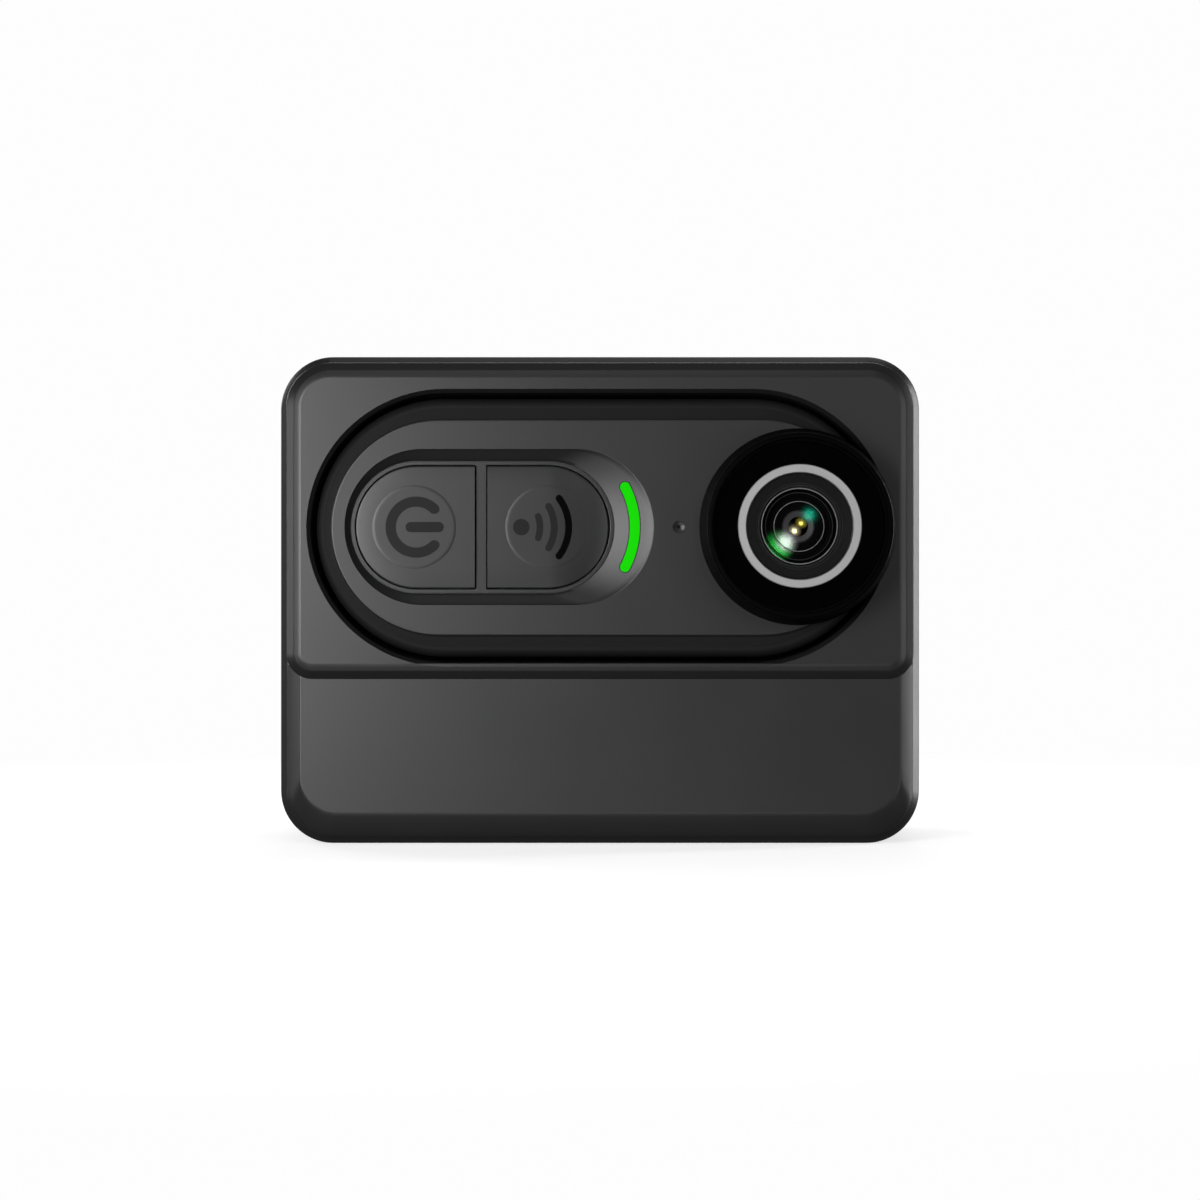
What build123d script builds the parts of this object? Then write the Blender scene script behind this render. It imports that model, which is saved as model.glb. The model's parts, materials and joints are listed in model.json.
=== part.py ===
"""Pocket action camera: a pill-shaped camera with two keys and a lens, docked in a pod with a flip-up screen.

Frame: millimetres, +X to the right seen from the front, +Y towards the back, +Z up.
The origin is at the bottom centre of the whole object, which stands on the pod's flat base.
"""
from build123d import *
import os

os.makedirs("parts", exist_ok=True)

# ---- Driving dimensions ------------------------------------------------------------------

# Pod outline, seen from the front
BODY_W = 63.8
BODY_H = 48.6
CORNER_R = 5.25
WALL = 1.8
RIM = 0.75          # chamfer on the housing's front edge, and how far the front cover stands in from it
GAP = 0.1           # clearance between pieces that slide or drop into each other
GASKET_INSET = 1.05
GASKET_W = 0.5
GASKET_T = 0.4
PANEL_FILLET = 1.25
BEZEL_FILLET = 0.85
WELL_FILLET = 0.4
SKIRT_T = 1.2

# Depth stations along Y, from the lens guard back to the screen
Y_GUARD = -16.2
Y_FACE = -11.6
Y_LEDGE = -11.0
Y_BEZEL = -10.8
Y_DISH = -10.8
Y_CAVITY = -10.0
Y_PANEL = -9.9
Y_RIM = -8.6
Y_SKIRT = -6.6
Y_SEAM = -4.1
Y_CAMERA_INSIDE = -0.1
Y_CAMERA_BACK = 1.4
Y_WELL_FLOOR = 1.5
Y_LINER_BACK = 2.5
Y_BOARD = 4.9
Y_REAR_INSIDE = 8.5
Y_REAR = 10.1
Y_SCREEN = 10.4
Y_BACK = 16.2

# Camera pill, and the well that it docks in
PILL_X = -0.15
PILL_Z = 31.45
PILL_REACH = 30.35  # distance between the centres of the two round ends
PILL_R = 12.8
PILL_WALL = 1.5
WELL_R = 13.35
LINER_R = 14.35
BEZEL_BOTTOM = 16.45
BEZEL_CORNER_R = 2.6

# Raised face of the camera, and the dished key area in it
FACE_LEFT = -15.9
FACE_RIGHT = 16.05
FACE_R = 10.7
KEY_Z = 31.5
DISH_LEFT = -17.52
DISH_RIGHT = -2.43
DISH_R = 7.69
PAD_LEFT = -18.11
PAD_RIGHT = -5.13
PAD_R = 6.58
OPENING_R = 6.13
KEY_R = 6.03
KEY_FLANGE_R = 6.45
KEY_TOP = -11.05
KEY_DISC_R = 4.15
KEY_DISC_TOP = -11.2
POWER_X = -18.35
WIFI_X = -5.2
RIB_X = -11.75      # middle of the rib between the two keys
RIB_W = 1.05

# Status light and microphone
LIGHT_R = 8.57
LIGHT_W = 1.0
LIGHT_HALF_ANGLE = 27.5
MIC_X = 7.8
MIC_R = 0.58

# Lens and its guard
LENS_X = 19.5
LENS_Z = 31.52
GUARD_R = 9.7       # the guard tapers from this at the camera's face
GUARD_FRONT_R = 9.1 # to this at its front edge
GLASS_R = 8.5
BARREL_R = 5.2
BARREL_FLANGE_R = 8.2
TRIM_OUTER_R = 6.05
TRIM_INNER_R = 5.22
DOME_R = 13.5       # curvature of the front lens element

# Screen and its hinge
HINGE_Y = 13.3
HINGE_Z = 45.3
SCREEN_HALF = 2.9   # half the screen's thickness, and the radius of its round top edge
SCREEN_W = 63.2
SCREEN_BASE = 0.4
SCREEN_CORNER_R = 5.25
GLASS_W = 60.3
GLASS_H = 39.3
GLASS_T = 0.9
GLASS_CORNER_R = 3.55
GLASS_Z = 21.5      # middle of the glass
GLASS_GAP = 0.05
PANEL_W = 56.4
PANEL_H = 35.6
PANEL_GAP = 0.4
PANEL_Z = 21.6
NOTCH_HALF = 14.2
NOTCH_DROP = 3.4
KNUCKLE_R = 2.6
KNUCKLE_HALF = 13.7
PIN_R = 0.9
PIN_HALF = 17.0

# Keys on the pod's top and left side, behind the well
POD_KEY_Y = 5.5
RECORD_X = 14.0
RECORD_L = 13.5
RECORD_W = 4.7
SIDE_KEY_Z = 30.0
SIDE_KEY_L = 10.8
SIDE_KEY_W = 4.0
POD_STEM_Y = 6.9
POD_STEM_R = 0.8
POD_STEM_END_Z = 45.4
KEY_LIP_L = 1.6     # how much longer and wider than its cap a key's lip is
KEY_LIP_W = 0.6
KEY_LIP_T = 0.5
POD_MIC_X = (-14.0, -11.0)
POD_MIC_R = 0.4
SPEAKER_Z = 10.4
SPEAKER_PITCH = 1.8
SPEAKER_SLOT_L = 7.4
SPEAKER_SLOT_W = 0.8

# Charging port and its door, on the right side
PORT_Y = -0.1
PORT_Z = 9.2
DOOR_X = 31.13
DOOR_Y = 5.9
DOOR_R = 0.72       # half the door's thickness, and the radius of its hinge edge
DOOR_FAR_Y = -6.1
DOOR_H = 7.3
DOOR_PIN_R = 0.35
DOOR_BOSS_X = 28.4  # inner face of the boss that carries the door
DOOR_BOSS_Y = 7.6
DOOR_BOSS_Z = (4.4, 14.2)
DOOR_POCKET = 1.6
PORT_SLOT_L = 10.6
PORT_SLOT_W = 4.4
PORT_SHELL_X = 21.4
PORT_SHELL_L = 8.94
PORT_SHELL_W = 3.2
PORT_SHELL_T = 0.3
SEAL_L = 9.8
SEAL_W = 3.6
SEAL_T = 0.8
SEAL_DEPTH = 0.7

# Tripod thread in the base: a quarter-inch insert, bored to the thread's minor radius
INSERT_R = 4.2
INSERT_H = 7.0
THREAD_R = 2.6
THREAD_DEPTH = 6.0

# Rear screws and their posts
POST_X = 27.8
POST_LOW_Z = 4.1
POST_HIGH_Z = 44.5
POST_R = 2.2
SCREW_R = 0.75
SCREW_L = 5.0
HEAD_R = 1.4
HEAD_T = 0.7

MAGNET_X = 14.0
MAGNET_R = 3.0
PIN_PITCH = 2.0
CONTACT_PIN_R = 0.4
CONTACT_HALF_W = 4.0
CONTACT_HALF_H = 2.0
CONTACT_PLATE_T = 0.8

HALF_W = BODY_W / 2
POD_LIP_Z = BODY_H - WALL - 0.6  # underside of the record button's lip
WELL_END = PILL_REACH / 2 + WELL_R + 0.5  # beyond the well, short of the bezel's edge
CONTACT_X = [PILL_X + step * PIN_PITCH for step in (-1, 0, 1)]
CONTACT_SPAN_X = (PILL_X - CONTACT_HALF_W, PILL_X + CONTACT_HALF_W)
CONTACT_SPAN_Z = (PILL_Z - CONTACT_HALF_H, PILL_Z + CONTACT_HALF_H)
POSTS = [(side * POST_X, z) for side in (-1, 1) for z in (POST_LOW_Z, POST_HIGH_Z)]


# ---- Helpers -----------------------------------------------------------------------------

def front(y):
    """The plane at depth y that faces the front: its own x is X and its own y is Z."""
    return Plane.XZ.offset(-y)


def body_outline(inset):
    """The pod's rounded outline, stepped in all round."""
    with Locations((0, BODY_H / 2)):
        RectangleRounded(BODY_W - 2 * inset, BODY_H - 2 * inset, CORNER_R - inset)


def gasket_outline():
    """The front gasket's thin rounded frame."""
    inner = GASKET_INSET + GASKET_W
    body_outline(GASKET_INSET)
    with Locations((0, BODY_H / 2)):
        RectangleRounded(BODY_W - 2 * inner, BODY_H - 2 * inner, CORNER_R - inner, mode=Mode.SUBTRACT)


def pill(radius, mode=Mode.ADD):
    """The camera's outline, grown or shrunk to this end radius."""
    with Locations((PILL_X, PILL_Z)):
        SlotCenterToCenter(PILL_REACH, 2 * radius, mode=mode)


def slot_between(left, right, z, radius):
    """A slot whose round ends are centred at left and right."""
    with Locations(((left + right) / 2, z)):
        SlotCenterToCenter(right - left, 2 * radius)


def edges_at(part, y):
    """The edges that lie in the plane at depth y."""
    return part.edges().filter_by_position(Axis.Y, y - 0.001, y + 0.001)


def block(x, y, z, mode=Mode.ADD):
    """A box between two limits on each axis."""
    with Locations(tuple((low + high) / 2 for low, high in (x, y, z))):
        Box(*(high - low for low, high in (x, y, z)), mode=mode)


def ring(outer, inner, y_front, y_back):
    """A flat ring round the lens axis."""
    with BuildSketch(front(y_back)) as profile:
        with Locations((LENS_X, LENS_Z)):
            Circle(outer)
            Circle(inner, mode=Mode.SUBTRACT)
    extrude(profile.sketch, amount=y_back - y_front)


def disc(x, z, radius, y_front, y_back, mode=Mode.ADD):
    """A disc facing the front."""
    with BuildSketch(front(y_back)) as profile:
        with Locations((x, z)):
            Circle(radius)
    extrude(profile.sketch, amount=y_back - y_front, mode=mode)


def light_arc(y_front, y_back, mode=Mode.ADD):
    """The status light's curved bar, concentric with the right-hand key's round end."""
    with BuildSketch(front(y_back)) as profile:
        with BuildLine():
            CenterArc((PAD_RIGHT, KEY_Z), LIGHT_R, -LIGHT_HALF_ANGLE, 2 * LIGHT_HALF_ANGLE)
        trace(line_width=LIGHT_W)
        with Locations((PAD_RIGHT, KEY_Z)):
            with PolarLocations(LIGHT_R, 2, -LIGHT_HALF_ANGLE, 2 * LIGHT_HALF_ANGLE, endpoint=True):
                Circle(LIGHT_W / 2)
    extrude(profile.sketch, amount=y_back - y_front, mode=mode)


def write(builder, name):
    """Label a finished piece and save it."""
    builder.part.label = name
    export_step(builder.part, f"parts/{name}.step")


# ---- Pod shell ---------------------------------------------------------------------------

with BuildPart() as main_housing:
    with BuildSketch(front(Y_REAR)):
        body_outline(0)
    extrude(amount=Y_REAR - Y_RIM)
    chamfer(edges_at(main_housing.part, Y_RIM), RIM)
    chamfer(edges_at(main_housing.part, Y_REAR), 0.4)
    with BuildSketch(front(Y_REAR)):
        body_outline(WALL)
    extrude(amount=Y_REAR - Y_RIM, mode=Mode.SUBTRACT)
    # Corner posts for the rear cover's screws
    for x, z in POSTS:
        disc(x, z, POST_R, Y_SKIRT + GAP, Y_REAR_INSIDE)
    # Groove for the front gasket
    with BuildSketch(front(Y_RIM + GASKET_T)):
        gasket_outline()
    extrude(amount=GASKET_T, mode=Mode.SUBTRACT)
    # Boss round the tripod insert
    with BuildSketch(Plane.XY):
        Circle(INSERT_R + 1.7)
    extrude(amount=INSERT_H + 0.6)
    with BuildSketch(Plane.XY):
        Circle(INSERT_R)
    extrude(amount=INSERT_H, mode=Mode.SUBTRACT)
    # Slots for the record button in the top and the side key in the left
    with BuildSketch(Plane.XY.offset(BODY_H)):
        with Locations((RECORD_X, POD_KEY_Y)):
            SlotOverall(RECORD_L + 2 * GAP, RECORD_W + 2 * GAP)
    extrude(amount=-WALL - 1, mode=Mode.SUBTRACT)
    with BuildSketch(Plane.YZ.offset(-HALF_W)):
        with Locations((POD_KEY_Y, SIDE_KEY_Z)):
            SlotOverall(SIDE_KEY_L + 2 * GAP, SIDE_KEY_W + 2 * GAP, rotation=90)
    extrude(amount=WALL + 1, mode=Mode.SUBTRACT)
    # Microphone holes in the top, and speaker slots in the left side
    with BuildSketch(Plane.XY.offset(BODY_H)):
        with Locations(*[(x, POD_KEY_Y) for x in POD_MIC_X]):
            Circle(POD_MIC_R)
    extrude(amount=-WALL - 1, mode=Mode.SUBTRACT)
    with BuildSketch(Plane.YZ.offset(-HALF_W)):
        with Locations(*[(PORT_Y, SPEAKER_Z + step * SPEAKER_PITCH) for step in (-1, 0, 1)]):
            SlotOverall(SPEAKER_SLOT_L, SPEAKER_SLOT_W)
    extrude(amount=WALL + 0.5, mode=Mode.SUBTRACT)
    # Boss for the port door, its pocket, the port's opening and the door pin's holes
    block((DOOR_BOSS_X, HALF_W - WALL + 0.2), (Y_SKIRT + GAP, DOOR_BOSS_Y), DOOR_BOSS_Z)
    with BuildSketch(Plane.YZ.offset(HALF_W)):
        with Locations(((DOOR_FAR_Y + DOOR_Y + DOOR_R) / 2, PORT_Z)):
            Rectangle(DOOR_Y + DOOR_R - DOOR_FAR_Y + 0.33, DOOR_H + 0.3)
    extrude(amount=-DOOR_POCKET, mode=Mode.SUBTRACT)
    with BuildSketch(Plane.YZ.offset(HALF_W)):
        with Locations((PORT_Y, PORT_Z)):
            SlotOverall(PORT_SLOT_L, PORT_SLOT_W)
    extrude(amount=-4, mode=Mode.SUBTRACT)
    with Locations((DOOR_X, DOOR_Y, PORT_Z)):
        Cylinder(DOOR_PIN_R, DOOR_H + 2, mode=Mode.SUBTRACT)
    for x, z in POSTS:
        disc(x, z, SCREW_R, Y_REAR_INSIDE - SCREW_L, Y_REAR_INSIDE, Mode.SUBTRACT)
write(main_housing, "main_housing")

with BuildPart() as front_cover:
    with BuildSketch(front(Y_RIM)):
        body_outline(RIM)
    extrude(amount=Y_RIM - Y_PANEL)
    fillet(edges_at(front_cover.part, Y_PANEL), PANEL_FILLET)
    # Raised bezel round the well
    with BuildSketch(front(Y_RIM)):
        body_outline(RIM)
        with Locations((0, BEZEL_BOTTOM + 20)):
            RectangleRounded(BODY_W - 2 * RIM, 40, BEZEL_CORNER_R, mode=Mode.INTERSECT)
    extrude(amount=Y_RIM - Y_BEZEL)
    fillet(edges_at(front_cover.part, Y_BEZEL), BEZEL_FILLET)
    # Skirt that drops into the housing
    with BuildSketch(front(Y_SKIRT)):
        body_outline(WALL + GAP)
        with Locations((0, BODY_H / 2)):
            inner = WALL + GAP + SKIRT_T
            RectangleRounded(BODY_W - 2 * inner, BODY_H - 2 * inner, CORNER_R - inner, mode=Mode.SUBTRACT)
        pill(LINER_R + GAP)
    extrude(amount=Y_SKIRT - Y_RIM)
    with BuildSketch(front(Y_SKIRT)):
        pill(LINER_R + GAP)
    extrude(amount=Y_SKIRT - Y_RIM, mode=Mode.SUBTRACT)
    # Well opening
    with BuildSketch(front(Y_RIM)):
        pill(WELL_R)
    extrude(amount=Y_RIM - Y_BEZEL, mode=Mode.SUBTRACT)
    fillet(edges_at(front_cover.part, Y_BEZEL).filter_by_position(Axis.X, -WELL_END, WELL_END), WELL_FILLET)
write(front_cover, "front_cover")

with BuildPart() as front_gasket:
    with BuildSketch(front(Y_RIM + GASKET_T)):
        gasket_outline()
    extrude(amount=GASKET_T)
write(front_gasket, "front_gasket")

with BuildPart() as well_liner:
    with BuildSketch(front(Y_LINER_BACK)):
        pill(LINER_R)
    extrude(amount=Y_LINER_BACK - Y_RIM)
    with BuildSketch(front(Y_WELL_FLOOR)):
        pill(WELL_R)
    extrude(amount=Y_WELL_FLOOR - Y_RIM, mode=Mode.SUBTRACT)
    # Holes for the sprung contacts
    for x in CONTACT_X:
        disc(x, PILL_Z, CONTACT_PIN_R + 0.05, Y_WELL_FLOOR, Y_LINER_BACK, Mode.SUBTRACT)
write(well_liner, "well_liner")

with BuildPart() as rear_cover:
    with BuildSketch(front(Y_REAR)):
        body_outline(WALL + 0.05)
    extrude(amount=Y_REAR - Y_REAR_INSIDE)
    for x, z in POSTS:
        disc(x, z, SCREW_R, Y_REAR_INSIDE, Y_REAR, Mode.SUBTRACT)
        disc(x, z, HEAD_R, Y_REAR - HEAD_T, Y_REAR, Mode.SUBTRACT)
write(rear_cover, "rear_cover")

for number, (x, z) in enumerate(POSTS, start=1):
    with BuildPart() as rear_screw:
        disc(x, z, SCREW_R, Y_REAR_INSIDE - SCREW_L, Y_REAR - HEAD_T)
        disc(x, z, HEAD_R, Y_REAR - HEAD_T, Y_REAR)
        with BuildSketch(front(Y_REAR)):
            with Locations((x, z)):
                RegularPolygon(0.7, 6)
        extrude(amount=0.45, mode=Mode.SUBTRACT)
    write(rear_screw, f"rear_screw_{number}")

with BuildPart() as tripod_insert:
    with BuildSketch(Plane.XY):
        Circle(INSERT_R)
    extrude(amount=INSERT_H)
    with BuildSketch(Plane.XY):
        Circle(THREAD_R)
    extrude(amount=THREAD_DEPTH, mode=Mode.SUBTRACT)
write(tripod_insert, "tripod_insert")

# ---- Pod insides -------------------------------------------------------------------------

with BuildPart() as pod_board:
    block((-28, 28), (Y_BOARD, Y_BOARD + 1), (12, 45))
    for low, high in ((-28, -25), (25, 28)):
        block((low, high), (Y_BOARD, Y_BOARD + 1), (41.6, 45), Mode.SUBTRACT)
    # Processor under its shield, and the memory
    block((-9, 7), (Y_BOARD + 1, Y_BOARD + 2.6), (20, 34))
    block((10, 20), (Y_BOARD + 1, Y_BOARD + 2.1), (22, 31))
write(pod_board, "pod_board")

with BuildPart() as pod_battery:
    block((-25.3, -7.2), (-6.3, 4.4), (2.4, 15.9))
    fillet(pod_battery.edges().filter_by(Axis.Y), 1.2)
write(pod_battery, "pod_battery")

with BuildPart() as record_switch:
    block((RECORD_X - 2.2, RECORD_X + 2.2), (Y_BOARD + 1, Y_BOARD + 3), (42.3, 44.6))
    block((RECORD_X - 0.9, RECORD_X + 0.9), (Y_BOARD + 1.4, Y_BOARD + 2.6), (44.6, 44.9))
write(record_switch, "record_switch")

with BuildPart() as side_switch:
    block((-28, -25.7), (Y_BOARD + 1, Y_BOARD + 3), (SIDE_KEY_Z - 2.2, SIDE_KEY_Z + 2.2))
    block((-28.3, -28), (Y_BOARD + 1.4, Y_BOARD + 2.6), (SIDE_KEY_Z - 0.9, SIDE_KEY_Z + 0.9))
write(side_switch, "side_switch")

with BuildPart() as pod_microphone:
    block((-15, -10), (POD_KEY_Y - 1.4, POD_KEY_Y + 1.4), (45.5, BODY_H - WALL))
write(pod_microphone, "pod_microphone")

with BuildPart() as pod_speaker:
    block((-HALF_W + WALL, -27.4), (PORT_Y - 4.5, PORT_Y + 4.5), (6.6, 14.4))
    fillet(pod_speaker.edges().filter_by(Axis.X), 1.5)
write(pod_speaker, "pod_speaker")

with BuildPart() as usb_board:
    block((18, 28.3), (-6.2, 4.7), (6.6, 7.6))
write(usb_board, "usb_board")

with BuildPart() as usb_receptacle:
    with BuildSketch(Plane.YZ.offset(PORT_SHELL_X)):
        with Locations((PORT_Y, PORT_Z)):
            SlotOverall(PORT_SHELL_L, PORT_SHELL_W)
    extrude(amount=7.9)
    with BuildSketch(Plane.YZ.offset(PORT_SHELL_X + 1.2)):
        with Locations((PORT_Y, PORT_Z)):
            SlotOverall(PORT_SHELL_L - 2 * PORT_SHELL_T, PORT_SHELL_W - 2 * PORT_SHELL_T)
    extrude(amount=6.7, mode=Mode.SUBTRACT)
    tongue_x = (PORT_SHELL_X + 1.2, PORT_SHELL_X + 7.3)
    block(tongue_x, (PORT_Y - 3.3, PORT_Y + 3.3), (PORT_Z - 0.35, PORT_Z + 0.35))
write(usb_receptacle, "usb_receptacle")

for side, name in ((-1, "left"), (1, "right")):
    with BuildPart() as dock_magnet:
        disc(side * MAGNET_X, PILL_Z, MAGNET_R, Y_LINER_BACK, Y_LINER_BACK + 1.8)
    write(dock_magnet, f"dock_magnet_{name}")

with BuildPart() as contact_block:
    block(CONTACT_SPAN_X, (Y_LINER_BACK, Y_BOARD), CONTACT_SPAN_Z)
    for x in CONTACT_X:
        disc(x, PILL_Z, CONTACT_PIN_R + 0.05, Y_LINER_BACK, Y_BOARD - 0.5, Mode.SUBTRACT)
write(contact_block, "contact_block")

with BuildPart() as contact_pins:
    for x in CONTACT_X:
        disc(x, PILL_Z, CONTACT_PIN_R, Y_WELL_FLOOR - 0.05, Y_BOARD - 1)
write(contact_pins, "contact_pins")

# ---- Pod keys and port door --------------------------------------------------------------

with BuildPart() as record_button:
    with BuildSketch(Plane.XY.offset(POD_LIP_Z)):
        with Locations((RECORD_X, POD_KEY_Y)):
            SlotOverall(RECORD_L + KEY_LIP_L, RECORD_W + KEY_LIP_W)
    extrude(amount=KEY_LIP_T)
    with BuildSketch(Plane.XY.offset(POD_LIP_Z)):
        with Locations((RECORD_X, POD_KEY_Y)):
            SlotOverall(RECORD_L, RECORD_W)
    extrude(amount=WALL + 0.55)
    chamfer(record_button.faces().sort_by(Axis.Z)[-1].edges(), 0.25)
    with BuildSketch(Plane.XY.offset(POD_STEM_END_Z)):
        with Locations((RECORD_X, POD_STEM_Y)):
            Circle(POD_STEM_R)
    extrude(amount=POD_LIP_Z - POD_STEM_END_Z)
write(record_button, "record_button")

with BuildPart() as side_key:
    with BuildSketch(Plane.YZ.offset(-HALF_W + WALL + 0.1)):
        with Locations((POD_KEY_Y, SIDE_KEY_Z)):
            SlotOverall(SIDE_KEY_L + KEY_LIP_L, SIDE_KEY_W + KEY_LIP_W, rotation=90)
    extrude(amount=KEY_LIP_T)
    with BuildSketch(Plane.YZ.offset(-HALF_W + 0.05)):
        with Locations((POD_KEY_Y, SIDE_KEY_Z)):
            SlotOverall(SIDE_KEY_L, SIDE_KEY_W, rotation=90)
    extrude(amount=WALL + 0.1)
    chamfer(side_key.faces().sort_by(Axis.X)[0].edges(), 0.25)
    with BuildSketch(Plane.YZ.offset(-HALF_W + WALL + 0.6)):
        with Locations((POD_STEM_Y, SIDE_KEY_Z)):
            Circle(POD_STEM_R)
    extrude(amount=0.7)
write(side_key, "side_key")

with BuildPart() as usb_door:
    with BuildSketch(Plane.XY.offset(PORT_Z - DOOR_H / 2)):
        with Locations((DOOR_X, DOOR_Y)):
            Circle(DOOR_R)
        with Locations((DOOR_X, (DOOR_Y + DOOR_FAR_Y) / 2)):
            Rectangle(2 * DOOR_R, DOOR_Y - DOOR_FAR_Y)
    extrude(amount=DOOR_H)
    with BuildSketch(Plane.XY.offset(PORT_Z - DOOR_H / 2)):
        with Locations((DOOR_X, DOOR_Y)):
            Circle(DOOR_PIN_R + 0.05)
    extrude(amount=DOOR_H, mode=Mode.SUBTRACT)
    # Fingernail recess in the free edge
    with BuildSketch(Plane.XY.offset(PORT_Z - 1.6)):
        with Locations((DOOR_X + DOOR_R, DOOR_FAR_Y)):
            Circle(0.6)
    extrude(amount=3.2, mode=Mode.SUBTRACT)
write(usb_door, "usb_door")

with BuildPart() as usb_door_seal:
    with BuildSketch(Plane.YZ.offset(DOOR_X - DOOR_R - SEAL_DEPTH)):
        with Locations((PORT_Y, PORT_Z)):
            SlotOverall(SEAL_L, SEAL_W)
            SlotOverall(SEAL_L - 2 * SEAL_T, SEAL_W - 2 * SEAL_T, mode=Mode.SUBTRACT)
    extrude(amount=SEAL_DEPTH)
write(usb_door_seal, "usb_door_seal")

with BuildPart() as door_pin:
    with Locations((DOOR_X, DOOR_Y, PORT_Z)):
        Cylinder(DOOR_PIN_R, DOOR_H + 2)
write(door_pin, "door_pin")

# ---- Screen and hinge --------------------------------------------------------------------

with BuildPart() as hinge_knuckle:
    with BuildSketch(Plane.YZ.offset(-KNUCKLE_HALF)):
        with Locations((HINGE_Y, HINGE_Z)):
            Circle(KNUCKLE_R)
        with Locations(((HINGE_Y + Y_REAR) / 2, HINGE_Z - 0.6)):
            Rectangle(HINGE_Y - Y_REAR, 3.2)
        with Locations((HINGE_Y, HINGE_Z)):
            Circle(PIN_R, mode=Mode.SUBTRACT)
    extrude(amount=2 * KNUCKLE_HALF)
write(hinge_knuckle, "hinge_knuckle")

with BuildPart() as hinge_pin:
    with BuildSketch(Plane.YZ.offset(-PIN_HALF)):
        with Locations((HINGE_Y, HINGE_Z)):
            Circle(PIN_R)
    extrude(amount=2 * PIN_HALF)
write(hinge_pin, "hinge_pin")

with BuildPart() as screen_shell:
    with BuildSketch(Plane.YZ.offset(-SCREEN_W / 2)):
        with Locations((HINGE_Y, HINGE_Z)):
            Circle(SCREEN_HALF)
        with Locations((HINGE_Y, (HINGE_Z + SCREEN_BASE) / 2)):
            Rectangle(2 * SCREEN_HALF, HINGE_Z - SCREEN_BASE)
    extrude(amount=SCREEN_W)
    with BuildSketch(front(Y_BACK)):
        with Locations((0, (HINGE_Z + SCREEN_HALF + SCREEN_BASE) / 2)):
            RectangleRounded(SCREEN_W, HINGE_Z + SCREEN_HALF - SCREEN_BASE, SCREEN_CORNER_R)
    extrude(amount=2 * SCREEN_HALF, mode=Mode.INTERSECT)
    # Notch for the pod's knuckle, and the pin's holes
    block((-NOTCH_HALF, NOTCH_HALF), (Y_SCREEN, Y_BACK), (HINGE_Z - NOTCH_DROP, BODY_H), Mode.SUBTRACT)
    with BuildSketch(Plane.YZ.offset(-PIN_HALF - 0.2)):
        with Locations((HINGE_Y, HINGE_Z)):
            Circle(PIN_R + 0.04)
    extrude(amount=2 * PIN_HALF + 0.4, mode=Mode.SUBTRACT)
    # Pockets for the glass, and for the panel and its board
    with BuildSketch(front(Y_BACK)):
        with Locations((0, GLASS_Z)):
            RectangleRounded(GLASS_W + 2 * GLASS_GAP, GLASS_H + 2 * GLASS_GAP, GLASS_CORNER_R + GLASS_GAP)
    extrude(amount=GLASS_T + 0.1, mode=Mode.SUBTRACT)
    pocket_x = (-PANEL_W / 2 - PANEL_GAP, PANEL_W / 2 + PANEL_GAP)
    pocket_z = (PANEL_Z - PANEL_H / 2 - PANEL_GAP, PANEL_Z + PANEL_H / 2 + PANEL_GAP)
    block(pocket_x, (Y_SCREEN + 1.2, Y_BACK - 1), pocket_z, Mode.SUBTRACT)
write(screen_shell, "screen_shell")

with BuildPart() as screen_glass:
    with BuildSketch(front(Y_BACK - 0.1)):
        with Locations((0, GLASS_Z)):
            RectangleRounded(GLASS_W, GLASS_H, GLASS_CORNER_R)
    extrude(amount=GLASS_T)
write(screen_glass, "screen_glass")

with BuildPart() as screen_panel:
    panel_z = (PANEL_Z - PANEL_H / 2, PANEL_Z + PANEL_H / 2)
    block((-PANEL_W / 2, PANEL_W / 2), (Y_SCREEN + 2.4, Y_BACK - 1), panel_z)
write(screen_panel, "screen_panel")

with BuildPart() as screen_board:
    block((-26, 10), (Y_SCREEN + 1.2, Y_SCREEN + 2), (6, 30))
write(screen_board, "screen_board")

# ---- Camera shell ------------------------------------------------------------------------

with BuildPart() as key_dish:
    # The hollow that the keys sit in: steep on the left, a long ramp on the right
    with BuildSketch(front(Y_DISH)):
        slot_between(PAD_LEFT, PAD_RIGHT, KEY_Z, PAD_R)
    with BuildSketch(front(Y_FACE)):
        slot_between(DISH_LEFT, DISH_RIGHT, KEY_Z, DISH_R)
    loft()

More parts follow.
